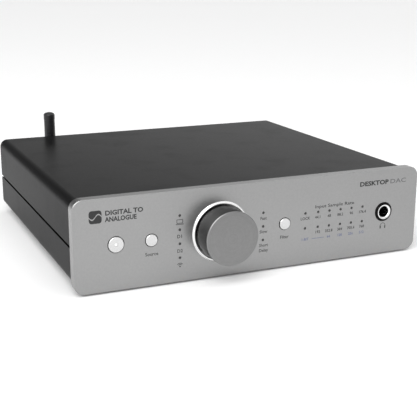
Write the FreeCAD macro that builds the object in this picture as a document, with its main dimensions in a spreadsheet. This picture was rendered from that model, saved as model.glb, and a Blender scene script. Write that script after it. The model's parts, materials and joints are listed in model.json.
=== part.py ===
"""A desktop digital-to-analogue converter with a headphone output, as a parametric FreeCAD document.

The unit is an extruded two-part case, upper and lower, behind a thick front panel with rounded
corners. The panel carries a volume knob in a bright trim ring, three push buttons, three groups of
indicator dots and a headphone socket. The rear panel carries the power inlet, two balanced
outputs, a pair of phono outputs, two coaxial and two optical inputs, a computer socket and a
folding antenna. Inside are a front board behind the panel and a main board on pillars.

Frame: +X to the right and -Y towards the user, as seen from the front, and +Z up. The origin is
on the table under the middle of the whole unit, knob and antenna included. Units are millimetres
and degrees.
"""
import FreeCAD, Part

import math
import os
import re

import Sketcher

# Driving sizes: name, value, what it is.
DRIVING = [
    ("panel_width", 215.0, "front panel, left to right"),
    ("panel_height", 52.0, "front panel, bottom to top"),
    ("panel_thickness", 6.0, "front panel, front to back"),
    ("panel_radius", 6.0, "rounding of the front panel's corners"),
    ("panel_chamfer", 0.4, "bevel along the front panel's face"),
    ("ground_clearance", 1.0, "table to the front panel's lower edge"),
    ("case_depth", 191.0, "front panel's face to the covers' rear edge"),
    ("cover_inset_side", 0.9, "covers' side behind the panel's edge"),
    ("cover_inset_top", 1.9, "covers' top below the panel's edge"),
    ("cover_inset_base", 3.1, "covers' base above the panel's edge"),
    ("cover_wall", 1.6, "wall of both covers"),
    ("cover_radius", 5.1, "outer rounding of the covers' long edges"),
    ("seam_height", 24.4, "middle of the seam above the panel's lower edge"),
    ("seam_gap", 1.3, "open gap between the two covers"),
    ("lip_wall", 1.0, "wall of the lip that backs the seam"),
    ("lip_rise", 3.0, "lip above the seam"),
    ("lip_root", 4.0, "lip's root below the seam"),
    ("slide_clearance", 0.2, "between a lip and the other cover"),
    ("edge_clearance", 0.3, "around plates that stand inside the covers"),
    ("boss_radius", 3.6, "screw channel in a cover's corner"),
    ("boss_overlap", 0.4, "how far a screw channel sinks into the walls"),
    ("rear_recess", 1.0, "rear panel inside the covers' rear edge"),
    ("rear_wall", 1.5, "rear panel"),
    ("bracket_wall", 1.5, "front bracket"),
    ("bracket_flange", 10.0, "front bracket's foot along the base"),
    ("window_half_width", 93.5, "front bracket's window, half its width"),
    ("window_drop", 14.0, "front bracket's window below the middle"),
    ("window_rise", 14.0, "front bracket's window above the middle"),
    ("panel_screw_rise", 11.0, "screws behind the panel above and below the middle"),
    ("board_thickness", 1.6, "both circuit boards"),
    ("board_half_width", 97.0, "main board, half its width"),
    ("board_setback", 17.0, "panel face to the main board's front edge"),
    ("board_rear_gap", 1.5, "main board to the rear panel"),
    ("standoff_height", 5.0, "pillars under the main board"),
    ("pillar_length", 5.0, "pillars between bracket and front board"),
    ("pillar_radius", 2.0, "front board's pillar"),
    ("screw_radius", 1.45, "shank of every case and board screw"),
    ("thread_clearance", 0.05, "shank to its tapped hole"),
    ("through_clearance", 0.3, "shank to a plain hole"),
    ("screw_head_radius", 2.75, "pan head"),
    ("screw_head_height", 1.8, "pan head"),
    ("socket_depth", 1.1, "driver recess in a screw head"),
    ("driver_radius", 1.0, "driver recess in a screw head"),
    ("foot_radius", 8.0, "rubber foot"),
    ("foot_inset_x", 20.0, "foot's middle from the covers' side"),
    ("foot_inset_y", 22.0, "foot's middle from either end of the covers"),
    ("foot_stem_radius", 2.4, "stem that holds a foot"),
    ("vent_length", 28.0, "base vent slot"),
    ("vent_width", 2.4, "base vent slot"),
    ("vent_count", 9, "base vent slots in a row"),
    ("vent_pitch", 6.0, "base vent slots, middle to middle"),
    ("knob_x", -22.8, "knob's axis from the middle"),
    ("knob_radius", 15.4, "knob"),
    ("knob_length", 15.3, "knob's face in front of the panel"),
    ("knob_gap", 0.5, "knob's skirt to the panel's face"),
    ("knob_skin", 2.0, "knob's side wall"),
    ("knob_face", 3.0, "knob's front wall"),
    ("knob_chamfer", 0.35, "bevel round the knob's face"),
    ("hub_radius", 5.5, "knob's inner hub"),
    ("hub_web", 2.0, "disc that carries the hub in the knob"),
    ("shaft_radius", 3.0, "encoder's shaft"),
    ("shaft_flat", 1.5, "depth of the flat on the shaft"),
    ("running_clearance", 0.05, "shafts and pins in their bores"),
    ("bushing_radius", 3.5, "encoder's threaded neck"),
    ("bushing_reach", 2.8, "encoder's neck in front of the panel"),
    ("encoder_size", 12.0, "encoder's square body"),
    ("ring_clearance", 0.5, "knob's side to the trim ring"),
    ("ring_width", 1.6, "trim ring, inner to outer radius"),
    ("ring_height", 1.1, "trim ring in front of the panel"),
    ("ring_crest_width", 0.7, "trim ring's bore to the rim of its flat crest"),
    ("ring_edge", 0.25, "trim ring's height at its outer edge"),
    ("ring_seat_width", 0.85, "trim ring's wall in its seat"),
    ("ring_seat_depth", 1.5, "depth of the trim ring's seat"),
    ("button_proud", 0.7, "buttons in front of the panel"),
    ("button_clearance", 0.35, "button to its hole"),
    ("button_travel", 0.6, "push buttons"),
    ("button_collar", 1.0, "collar that stops a button coming out"),
    ("button_edge", 0.35, "rounding of a button's face"),
    ("button_stem", 1.6, "radius of a button's stem"),
    ("power_x", -84.0, "power button from the middle"),
    ("power_radius", 4.35, "power button"),
    ("power_lens_radius", 0.9, "light in the power button"),
    ("source_x", -64.0, "source button from the middle"),
    ("filter_x", 17.0, "filter button from the middle"),
    ("small_radius", 3.4, "source and filter buttons"),
    ("switch_size", 6.0, "square switch behind a button"),
    ("switch_height", 3.5, "switch in front of the front board"),
    ("pocket_depth", 2.5, "pockets in the panel's back"),
    ("dot_radius", 0.7, "light pipe behind an indicator dot"),
    ("dot_clearance", 0.08, "light pipe to its hole"),
    ("dot_recess", 0.15, "light pipe's face inside the panel's face"),
    ("dot_collar", 1.3, "light pipe's collar"),
    ("dot_pitch", 8.0, "source and filter dots, one above another"),
    ("source_dots_x", -47.6, "source dots from the middle"),
    ("filter_dots_x", 3.2, "filter dots from the middle"),
    ("rate_first_x", 30.4, "first column of rate dots"),
    ("rate_second_x", 38.85, "second column of rate dots"),
    ("rate_pitch", 7.55, "later columns of rate dots"),
    ("rate_upper", 4.7, "upper row of rate dots above the middle"),
    ("rate_lower", 4.3, "lower row of rate dots below the middle"),
    ("led_height", 0.7, "indicator light on the front board"),
    ("phones_x", 84.0, "headphone socket from the middle"),
    ("phones_bore", 3.3, "bore for a 6.35 mm plug"),
    ("phones_lead_in", 0.45, "bevel of the headphone bore's mouth"),
    ("phones_crest_width", 0.6, "flat front of the headphone bushing"),
    ("phones_wall", 1.6, "headphone bushing's wall behind its flange"),
    ("phones_flange_width", 1.1, "flange round the headphone bushing's neck"),
    ("phones_proud", 0.9, "headphone bushing in front of the panel"),
    ("phones_body_width", 17.0, "headphone socket's housing"),
    ("phones_body_rise", 8.5, "headphone housing above its axis"),
    ("phones_body_depth", 26.0, "headphone housing behind the panel"),
    ("antenna_x", -67.3, "antenna's socket from the middle"),
    ("antenna_rise", 3.0, "antenna's socket above the middle"),
    ("antenna_radius", 4.0, "antenna's mast"),
    ("antenna_top", 65.9, "antenna's tip above the table"),
    ("antenna_pivot", 16.2, "rear panel to the antenna's hinge"),
    ("knuckle_radius", 4.0, "rounding of the antenna's knuckle"),
    ("knuckle_half", 4.2, "antenna's knuckle, half its width"),
    ("eye_half", 2.45, "antenna's eye, half its width"),
    ("cheek_clearance", 0.15, "eye to the knuckle's cheeks"),
    ("hinge_pin_radius", 1.0, "antenna's hinge pin"),
    ("swivel_nut_radius", 4.9, "antenna's knurled nut"),
    ("swivel_nut_length", 8.0, "antenna's knurled nut"),
    ("thread_radius", 3.1, "antenna socket's thread"),
    ("lock_nut_height", 2.0, "antenna socket's lock nut"),
    ("balanced_right_x", 69.0, "right balanced output"),
    ("balanced_left_x", 39.5, "left balanced output"),
    ("balanced_rise", 1.0, "balanced outputs above the middle"),
    ("balanced_width", 26.0, "balanced output's flange"),
    ("balanced_height", 31.0, "balanced output's flange"),
    ("balanced_flange", 1.6, "balanced output's flange, thickness"),
    ("balanced_cup", 9.3, "inside radius of a balanced output"),
    ("balanced_wall", 2.3, "wall of a balanced output"),
    ("balanced_depth", 16.0, "balanced output behind the rear panel's face"),
    ("balanced_hollow", 11.0, "hollow behind the rear panel's face"),
    ("contact_radius", 1.2, "balanced output's contact"),
    ("contact_circle", 5.0, "radius that the three contacts stand on"),
    ("phono_x", 14.0, "phono outputs from the middle"),
    ("digital_two_x", -8.0, "second digital inputs"),
    ("digital_one_x", -28.0, "first digital inputs"),
    ("phono_upper", 8.0, "upper phono sockets above the middle"),
    ("phono_lower", 7.5, "lower phono socket below the middle"),
    ("phono_shell", 4.15, "phono socket's outer radius"),
    ("phono_wall", 0.55, "phono socket's wall"),
    ("phono_length", 9.0, "phono socket behind the unit"),
    ("phono_ring_wall", 1.25, "phono socket's coloured ring, outside the shell"),
    ("phono_ring_proud", 0.8, "coloured ring behind the unit"),
    ("phono_core", 2.1, "hole through a phono socket's insulator"),
    ("phono_grip_wall", 0.35, "wall of a phono socket's centre contact"),
    ("phono_block_half", 6.5, "phono housing, half its width"),
    ("optical_half", 4.2, "optical socket's square mouth, half its width"),
    ("optical_wall", 0.8, "optical socket's walls"),
    ("optical_axis_rise", 6.0, "optical socket's axis above the main board"),
    ("optical_depth", 10.0, "optical socket's hollow"),
    ("shutter_thickness", 0.7, "optical socket's shutter"),
    ("shutter_drop", 0.6, "shutter's hinge below the mouth's top"),
    ("shutter_inset", 1.0, "shutter's hinge inside the rear panel's face"),
    ("shutter_trunnion", 0.35, "radius of the shutter's hinge stubs"),
    ("usb_x", -48.0, "computer socket from the middle"),
    ("usb_width", 12.0, "computer socket"),
    ("usb_height", 10.9, "computer socket"),
    ("usb_shell_wall", 0.5, "computer socket's shell"),
    ("usb_corner", 1.8, "bevel of the computer socket's upper corners"),
    ("usb_mouth_width", 8.5, "computer socket's mouth"),
    ("usb_mouth_height", 7.8, "computer socket's mouth"),
    ("usb_depth", 14.0, "computer socket inside the rear panel's face"),
    ("inlet_x", 90.5, "power inlet from the middle"),
    ("inlet_rise", 6.5, "power inlet's axis above the main board"),
    ("inlet_wall", 1.75, "wall of the power inlet's round nose"),
    ("inlet_bore", 2.85, "power inlet's bore"),
    ("inlet_pin", 1.05, "power inlet's centre pin"),
    ("inlet_depth", 12.0, "power inlet inside the rear panel's face"),
    ("socket_proud", 0.4, "small rear sockets behind the rear panel's face"),
    ("ribbon_width", 24.0, "flat cable between the boards"),
    ("ribbon_thickness", 0.4, "flat cable between the boards"),
    ("ribbon_bend", 6.0, "flat cable's bend"),
    ("lead_radius", 0.57, "antenna's inner lead"),
]

# Sizes and places that follow from the driving ones. Each is a formula.
DERIVED = {
    "antenna_reach": "antenna_pivot + knuckle_radius - rear_recess",
    "front_y": "knob_length - (knob_length + case_depth + antenna_reach) / 2",
    "panel_back_y": "front_y + panel_thickness",
    "bracket_back_y": "panel_back_y + bracket_wall",
    "front_board_y": "bracket_back_y + pillar_length",
    "front_board_back_y": "front_board_y + board_thickness",
    "cover_end_y": "front_y + case_depth",
    "rear_face_y": "cover_end_y - rear_recess",
    "rear_inner_y": "rear_face_y - rear_wall",
    "board_front_y": "front_y + board_setback",
    "board_rear_y": "rear_inner_y - board_rear_gap",
    "half_width": "panel_width / 2",
    "cover_half": "half_width - cover_inset_side",
    "inner_half": "cover_half - cover_wall",
    "plate_half": "inner_half - edge_clearance",
    "middle_z": "ground_clearance + panel_height / 2",
    "panel_top_z": "ground_clearance + panel_height",
    "base_z": "ground_clearance + cover_inset_base",
    "top_z": "panel_top_z - cover_inset_top",
    "floor_z": "base_z + cover_wall",
    "ceiling_z": "top_z - cover_wall",
    "seam_z": "ground_clearance + seam_height",
    "lower_edge_z": "seam_z - seam_gap / 2",
    "upper_edge_z": "seam_z + seam_gap / 2",
    "inner_radius": "cover_radius - cover_wall",
    "boss_x": "inner_half - boss_radius + boss_overlap",
    "low_boss_z": "floor_z + boss_radius - boss_overlap",
    "high_boss_z": "ceiling_z - boss_radius + boss_overlap",
    "board_z": "floor_z + standoff_height",
    "board_top_z": "board_z + board_thickness",
    "tapped_radius": "screw_radius + thread_clearance",
    "hole_radius": "screw_radius + through_clearance",
    "pocket_y": "panel_back_y - pocket_depth",
    "last_rate_x": "rate_second_x + 4 * rate_pitch",
    "dot_hole": "dot_radius + dot_clearance",
    "ring_inner": "knob_radius + ring_clearance",
    "ring_outer": "ring_inner + ring_width",
    "ring_crest": "ring_inner + ring_crest_width",
    "ring_spigot": "ring_inner + ring_seat_width",
    "phones_mouth": "phones_bore + phones_lead_in",
    "phones_crest": "phones_mouth + phones_crest_width",
    "phones_neck": "phones_bore + phones_wall",
    "phones_flange": "phones_neck + phones_flange_width",
    "balanced_shell": "balanced_cup + balanced_wall",
    "phono_ring": "phono_shell + phono_ring_wall",
    "inlet_nose": "inlet_bore + inlet_wall",
    "antenna_z": "middle_z + antenna_rise",
    "pivot_y": "rear_face_y + antenna_pivot",
    "swivel_nut_y": "rear_face_y + lock_nut_height + edge_clearance",
    "swivel_nut_end_y": "swivel_nut_y + swivel_nut_length",
    "knuckle_start_y": "swivel_nut_end_y + cheek_clearance",
    "balanced_z": "middle_z + balanced_rise",
    "balanced_out_y": "rear_face_y + balanced_flange",
    "phono_high_z": "middle_z + phono_upper",
    "phono_low_z": "middle_z - phono_lower",
    "phono_ring_y": "rear_face_y + phono_ring_proud",
    "optical_z": "board_top_z + optical_axis_rise",
    "optical_top_z": "optical_z + optical_half",
    "shutter_z": "optical_top_z - shutter_drop",
    "shutter_y": "rear_face_y - shutter_inset",
    "socket_out_y": "rear_face_y + socket_proud",
    "usb_z": "board_top_z + usb_height / 2 + thread_clearance",
    "inlet_z": "board_top_z + inlet_rise",
    "ribbon_z": "middle_z - 2",
}

PANEL_SCREWS = [(sx, sz) for sx in (-1, 1) for sz in (-1, 1)]
SOURCE_DOTS = [("source_dots_x", f"middle_z + {step} * dot_pitch") for step in (1.5, 0.5, -0.5, -1.5)]
FILTER_DOTS = [("filter_dots_x", f"middle_z + {step} * dot_pitch") for step in (1, 0, -1)]
RATE_COLUMNS = ["rate_first_x"] + [f"rate_second_x + {k} * rate_pitch" for k in range(5)]
RATE_DOTS = [(x, z) for z in ("middle_z + rate_upper", "middle_z - rate_lower") for x in RATE_COLUMNS]
SMALL_BUTTONS = {"source_button": "source_x", "filter_button": "filter_x"}

DOC = FreeCAD.newDocument("desktop_dac")
SIZES = DOC.addObject("Spreadsheet::Sheet", "sizes")
ALIASES = {name for name, _, _ in DRIVING}
NODES = []
WORD = re.compile(r"[A-Za-z_][A-Za-z_0-9]*")
TURN_TO = {  # turns a shape made along +Z to point along another axis
    "X": FreeCAD.Rotation(FreeCAD.Vector(0, 1, 0), 90),
    "Y": FreeCAD.Rotation(FreeCAD.Vector(1, 0, 0), -90),
    "Z": FreeCAD.Rotation(),
}


# ---------------------------------------------------------------- formulas

def write_sizes():
    """Fills the spreadsheet: a note and an aliased number in each row."""
    for row, (name, value, note) in enumerate(DRIVING, start=1):
        SIZES.set(f"A{row}", note)
        SIZES.set(f"B{row}", str(value))
        SIZES.setAlias(f"B{row}", name)
    DOC.recompute()


def formula(text):
    """The text with each size's name spelled as the spreadsheet's cell, and each derived name opened."""

    def spell(match):
        name = match.group(0)
        if name in DERIVED:
            return f"({formula(DERIVED[name])})"
        return f"sizes.{name}" if name in ALIASES else name

    return WORD.sub(spell, str(text))


def number(text):
    """A formula's present value."""
    return float(SIZES.evalExpression(formula(text)))


def bind(thing, prop, text):
    """Ties a property to a formula."""
    thing.setExpression(prop, formula(text))


def span(low, high):
    """The formula of the distance from low to high."""
    return f"({high}) - ({low})"


# ---------------------------------------------------------------- primitives and booleans

def place(thing, x, y, z, rotation=None):
    """Puts a thing at a point given by formulas."""
    if rotation is not None:
        thing.Placement = FreeCAD.Placement(FreeCAD.Vector(), rotation)
    for axis, text in zip("xyz", (x, y, z)):
        bind(thing, f"Placement.Base.{axis}", text)
    return thing


def block(name, xs, ys, zs):
    """A box between two formulas on each axis."""
    thing = DOC.addObject("Part::Box", name)
    for prop, (low, high) in zip(("Length", "Width", "Height"), (xs, ys, zs)):
        bind(thing, prop, span(low, high))
    return place(thing, xs[0], ys[0], zs[0])


def rod(name, axis, centre, ends, radius, top_radius=None):
    """A round bar along an axis. centre is its place on the other two axes, in X, Y, Z order. With
    top_radius it is a cone that ends in that radius."""
    thing = DOC.addObject("Part::Cylinder" if top_radius is None else "Part::Cone", name)
    if top_radius is None:
        bind(thing, "Radius", radius)
    else:
        bind(thing, "Radius1", radius)
        bind(thing, "Radius2", top_radius)
    bind(thing, "Height", span(*ends))
    at = list(centre)
    at.insert("XYZ".index(axis), ends[0])
    return place(thing, *at, rotation=TURN_TO[axis])


def hexagon(name, axis, centre, ends, radius):
    """A six-sided bar along an axis, radius to its corners."""
    thing = DOC.addObject("Part::Prism", name)
    thing.Polygon = 6
    bind(thing, "Circumradius", radius)
    bind(thing, "Height", span(*ends))
    at = list(centre)
    at.insert("XYZ".index(axis), ends[0])
    return place(thing, *at, rotation=TURN_TO[axis])


def join(name, things):
    """Several things fused into one solid."""
    thing = DOC.addObject("Part::MultiFuse", name)
    thing.Shapes = things
    thing.Refine = True
    return thing


def cut(name, base, tools):
    """The base less every tool."""
    thing = DOC.addObject("Part::Cut", name)
    thing.Base = base
    thing.Tool = tools[0] if len(tools) == 1 else join(f"{name}_tools", tools)
    thing.Refine = True
    return thing


def group(name, things):
    """Separate solids that share one node."""
    thing = DOC.addObject("Part::Compound", name)
    thing.Links = things
    return thing


def keep(thing, label):
    """Marks a finished sub-part, which is written to its own file under this label."""
    thing.Label = label
    if thing.Label != label:
        raise RuntimeError(f"the label {label} is already taken")
    NODES.append(thing)
    return thing


# ---------------------------------------------------------------- bodies and sketches

def new_body(name):
    return DOC.addObject("PartDesign::Body", name)


def new_sketch(body, name, plane, offset):
    """A sketch on one of the body's own planes, moved so that it stands at the offset's coordinate."""
    sketch = body.newObject("Sketcher::SketchObject", name)
    support = next(o for o in body.Origin.OriginFeatures if o.Role == f"{plane}_Plane")
    sketch.AttachmentSupport = [(support, "")]
    sketch.MapMode = "FlatFace"
    sign = "-" if plane == "XZ" else ""  # the XZ plane's normal points along -Y
    bind(sketch, "AttachmentOffset.Base.z", f"{sign}({offset})")
    return sketch


def fix_point(sketch, geometry, point, x, y):
    """Dimensions a point of a sketch from the sketch's origin."""
    for kind, text in (("DistanceX", x), ("DistanceY", y)):
        rule = sketch.addConstraint(Sketcher.Constraint(kind, -1, 1, geometry, point, number(text)))
        bind(sketch, f"Constraints[{rule}]", text)


def fix_size(sketch, kind, geometry, text):
    """Dimensions a circle's or arc's radius."""
    rule = sketch.addConstraint(Sketcher.Constraint(kind, geometry, number(text)))
    bind(sketch, f"Constraints[{rule}]", text)


def draw_outline(sketch, points):
    """A closed outline of straight edges through the points."""
    corners = [FreeCAD.Vector(number(x), number(y), 0) for x, y in points]
    first = sketch.GeometryCount
    for start, end in zip(corners, corners[1:] + corners[:1]):
        sketch.addGeometry(Part.LineSegment(start, end), False)
    for k, (x, y) in enumerate(points):
        before = first + (k - 1) % len(points)
        sketch.addConstraint(Sketcher.Constraint("Coincident", before, 2, first + k, 1))
        fix_point(sketch, first + k, 1, x, y)


def draw_rectangle(sketch, xs, ys):
    draw_outline(sketch, [(xs[0], ys[0]), (xs[1], ys[0]), (xs[1], ys[1]), (xs[0], ys[1])])


def draw_circle(sketch, x, y, radius):
    centre = FreeCAD.Vector(number(x), number(y), 0)
    circle = sketch.addGeometry(Part.Circle(centre, FreeCAD.Vector(0, 0, 1), number(radius)), False)
    fix_point(sketch, circle, 3, x, y)
    fix_size(sketch, "Radius", circle, radius)


def draw_slot(sketch, x, y, length, width):
    """A slot along the sketch's own Y axis, with round ends."""
    reach = f"(({length}) - ({width})) / 2"
    radius = number(width) / 2
    middle_x, low_y, high_y = number(x), number(f"{y} - {reach}"), number(f"{y} + {reach}")
    normal = FreeCAD.Vector(0, 0, 1)
    top = Part.ArcOfCircle(Part.Circle(FreeCAD.Vector(middle_x, high_y, 0), normal, radius), 0, math.pi)
    base = Part.ArcOfCircle(Part.Circle(FreeCAD.Vector(middle_x, low_y, 0), normal, radius),
                            math.pi, 2 * math.pi)
    left, right = (
        Part.LineSegment(FreeCAD.Vector(side, a, 0), FreeCAD.Vector(side, b, 0))
        for side, a, b in ((middle_x - radius, high_y, low_y), (middle_x + radius, low_y, high_y))
    )
    arc_top, line_left, arc_base, line_right = (
        sketch.addGeometry(piece, False) for piece in (top, left, base, right)
    )
    for first, first_end, second, second_end in (
        (arc_top, 2, line_left, 1), (line_left, 2, arc_base, 1),
        (arc_base, 2, line_right, 1), (line_right, 2, arc_top, 1),
    ):
        sketch.addConstraint(Sketcher.Constraint("Tangent", first, first_end, second, second_end))
    sketch.addConstraint(Sketcher.Constraint("Vertical", line_left))
    fix_size(sketch, "Radius", arc_top, f"({width}) / 2")
    fix_point(sketch, arc_top, 3, x, f"{y} + {reach}")
    rule = sketch.addConstraint(Sketcher.Constraint("DistanceY", -1, 1, arc_base, 3, low_y))
    bind(sketch, f"Constraints[{rule}]", f"{y} - {reach}")


def pad(body, sketch, length, towards_rear=False):
    """Pads a sketch by a length, along the sketch's normal, or against it for the XZ plane's rear."""
    feature = body.newObject("PartDesign::Pad", f"{sketch.Name}_pad")
    feature.Profile = sketch
    bind(feature, "Length", length)
    feature.Reversed = towards_rear
    DOC.recompute()
    return feature


def pocket(body, sketch, length, towards_rear=True):
    """Pockets a sketch by a length and makes sure that it removed material. A pocket goes against the
    sketch's normal, which is towards the rear on the XZ plane."""
    before = body.Shape.Volume
    feature = body.newObject("PartDesign::Pocket", f"{sketch.Name}_pocket")
    feature.Profile = sketch
    bind(feature, "Length", length)
    feature.Reversed = not towards_rear
    DOC.recompute()
    if not body.Shape.Volume < before - 1e-6:
        raise RuntimeError(f"{feature.Name} removed nothing")
    return feature


def dress(body, kind, feature, size, wanted):
    """Rounds or bevels the wanted edges of a feature. kind is Fillet or Chamfer."""
    names = [f"Edge{k}" for k, edge in enumerate(feature.Shape.Edges, start=1) if wanted(edge)]
    dressed = body.newObject(f"PartDesign::{kind}", f"{feature.Name}_{kind.lower()}")
    dressed.Base = (feature, names)
    bind(dressed, "Radius" if kind == "Fillet" else "Size", size)
    DOC.recompute()
    return dressed


def runs_at(*points):
    """Picks straight edges along Y at any of the points, which are X and Z formulas."""
    spots = [(number(x), number(z)) for x, z in points]

    def wanted(edge):
        box = edge.BoundBox
        return (
            box.XLength < 1e-4
            and box.ZLength < 1e-4
            and any(math.hypot(box.XMin - x, box.ZMin - z) < 1e-3 for x, z in spots)
        )

    return wanted


def lies_at_y(text):
    """Picks edges that lie in the plane at a Y formula."""
    y = number(text)
    return lambda edge: edge.BoundBox.YLength < 1e-4 and abs(edge.BoundBox.YMin - y) < 1e-4


def turned(name, axis_x, axis_z, points):
    """A body turned about an axis along Y. points are a radius formula and a Y formula each."""
    body = new_body(name)
    sketch = body.newObject("Sketcher::SketchObject", f"{name}_section")
    support = next(o for o in body.Origin.OriginFeatures if o.Role == "XY_Plane")
    sketch.AttachmentSupport = [(support, "")]
    sketch.MapMode = "FlatFace"
    draw_outline(sketch, points)
    feature = body.newObject("PartDesign::Revolution", f"{name}_turn")
    feature.Profile = sketch
    feature.ReferenceAxis = (sketch, ["V_Axis"])
    feature.Angle = 360
    place(body, axis_x, "0", axis_z)
    DOC.recompute()
    return body


# ---------------------------------------------------------------- fasteners

def pan_screw(name, axis, centre, seat, shank_end, heads_back):
    """A pan-head screw along an axis. seat is where its head bears, and the head stands on the
    positive side if heads_back, with the shank the other way, to shank_end."""
    if heads_back:
        head = rod(f"{name}_head", axis, centre, (seat, f"{seat} + screw_head_height"), "screw_head_radius")
        shank = rod(f"{name}_shank", axis, centre, (shank_end, seat), "screw_radius")
        recess = (f"{seat} + screw_head_height - socket_depth", f"{seat} + screw_head_height")
    else:
        head = rod(f"{name}_head", axis, centre, (f"{seat} - screw_head_height", seat), "screw_head_radius")
        shank = rod(f"{name}_shank", axis, centre, (seat, shank_end), "screw_radius")
        recess = (f"{seat} - screw_head_height", f"{seat} - screw_head_height + socket_depth")
    solid = join(f"{name}_solid", [head, shank])
    return cut(name, solid, [hexagon(f"{name}_recess", axis, centre, recess, "driver_radius")])


# ---------------------------------------------------------------- case

def make_front_panel():
    """A thick plate with rounded corners, bevelled round its face, and every control's opening."""
    body = new_body("front_panel")
    face = new_sketch(body, "panel_outline", "XZ", "front_y")
    draw_rectangle(face, ("-half_width", "half_width"), ("ground_clearance", "panel_top_z"))
    plate = pad(body, face, "panel_thickness", towards_rear=True)
    corners = [(x, z) for x in ("-half_width", "half_width") for z in ("ground_clearance", "panel_top_z")]
    rounded = dress(body, "Fillet", plate, "panel_radius", runs_at(*corners))
    dress(body, "Chamfer", rounded, "panel_chamfer", lies_at_y("front_y"))

    openings = new_sketch(body, "panel_openings", "XZ", "front_y")
    draw_circle(openings, "power_x", "middle_z", "power_radius + button_clearance")
    for x in SMALL_BUTTONS.values():
        draw_circle(openings, x, "middle_z", "small_radius + button_clearance")
    draw_circle(openings, "knob_x", "middle_z", "bushing_radius + through_clearance")
    draw_circle(openings, "phones_x", "middle_z", "phones_neck + through_clearance")
    for x, z in SOURCE_DOTS + FILTER_DOTS + RATE_DOTS:
        draw_circle(openings, x, z, "dot_hole")
    pocket(body, openings, "panel_thickness")

    seat = new_sketch(body, "ring_seat", "XZ", "front_y")
    draw_circle(seat, "knob_x", "middle_z", "ring_spigot + running_clearance")
    pocket(body, seat, "ring_seat_depth")

    back = new_sketch(body, "back_pockets", "XZ", "panel_back_y")
    heights = ("middle_z - window_drop", "middle_z + window_rise")
    draw_rectangle(back, ("power_x - 9", "source_dots_x + 6"), heights)
    draw_rectangle(back, ("filter_dots_x - 5", "last_rate_x + 5"), heights)
    pocket(body, back, "pocket_depth", towards_rear=False)

    threads = new_sketch(body, "panel_threads", "XZ", "panel_back_y")
    for sx, sz in PANEL_SCREWS:
        draw_circle(threads, f"{sx} * (window_half_width + 6.5)", f"middle_z + {sz} * panel_screw_rise",
                    "tapped_radius")
    pocket(body, threads, "4.5", towards_rear=False)
    keep(body, "front_panel")


def make_bracket():
    """A sheet-metal frame behind the panel, with a foot along the base."""
    body = new_body("front_bracket")
    outline = new_sketch(body, "bracket_outline", "XZ", "panel_back_y")
    draw_rectangle(outline, ("-plate_half", "plate_half"), ("floor_z", "ceiling_z - edge_clearance"))
    plate = pad(body, outline, "bracket_wall", towards_rear=True)
    corners = [(x, z) for x in ("-plate_half", "plate_half")
               for z in ("floor_z", "ceiling_z - edge_clearance")]
    dress(body, "Fillet", plate, "inner_radius", runs_at(*corners))

    foot = new_sketch(body, "bracket_foot", "XZ", "bracket_back_y")
    draw_rectangle(foot, ("-window_half_width", "window_half_width"), ("floor_z", "floor_z + bracket_wall"))
    pad(body, foot, "bracket_flange", towards_rear=True)

    window = new_sketch(body, "bracket_window", "XZ", "panel_back_y")
    draw_rectangle(window, ("-window_half_width", "window_half_width"),
                   ("middle_z - window_drop", "middle_z + window_rise"))
    pocket(body, window, "bracket_wall")

    holes = new_sketch(body, "bracket_holes", "XZ", "panel_back_y")
    for sx, sz in PANEL_SCREWS:
        draw_circle(holes, f"{sx} * (window_half_width + 6.5)", f"middle_z + {sz} * panel_screw_rise",
                    "hole_radius")
    pocket(body, holes, "bracket_wall")

    base = new_sketch(body, "bracket_base_holes", "XY", "floor_z + bracket_wall")
    for x in base_screw_places():
        draw_circle(base, x, BASE_SCREW_Y, "tapped_radius")
    pocket(body, base, "bracket_wall")
    keep(body, "front_bracket")

    screws = [
        pan_screw(f"panel_screw_{k}", "Y",
                  (f"{sx} * (window_half_width + 6.5)", f"middle_z + {sz} * panel_screw_rise"),
                  "bracket_back_y", "panel_back_y - 4", heads_back=True)
        for k, (sx, sz) in enumerate(PANEL_SCREWS)
    ]
    keep(group("panel_screws", screws), "panel_screws")


BASE_SCREW_Y = "bracket_back_y + 2.6"


def base_screw_places():
    """Where the screws from below hold the bracket's foot."""
    return ("-(window_half_width - 14)", "0", "window_half_width - 14")


def foot_places():
    """The middles of the four feet."""
    xs = ("-(cover_half - foot_inset_x)", "cover_half - foot_inset_x")
    ys = ("panel_back_y + foot_inset_y", "cover_end_y - foot_inset_y")
    return [(x, y) for x in xs for y in ys]


def standoff_places():
    """Where pillars carry the main board."""
    ys = ("board_front_y + 28.9", "board_rear_y - 85", "board_rear_y - 34")
    return [(f"{side} * (board_half_width - 9)", y) for side in (-1, 1) for y in ys]


def add_screw_channels(body, name, boss_z):
    """Two screw channels along a cover's corners, tapped from the rear."""
    channels = new_sketch(body, f"{name}_channels", "XZ", "rear_inner_y")
    for x in ("-boss_x", "boss_x"):
        draw_circle(channels, x, boss_z, "boss_radius")
    pad(body, channels, span("bracket_back_y", "rear_inner_y"))
    threads = new_sketch(body, f"{name}_threads", "XZ", "rear_inner_y")
    for x in ("-boss_x", "boss_x"):
        draw_circle(threads, x, boss_z, "tapped_radius")
    pocket(body, threads, "10", towards_rear=False)


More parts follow.
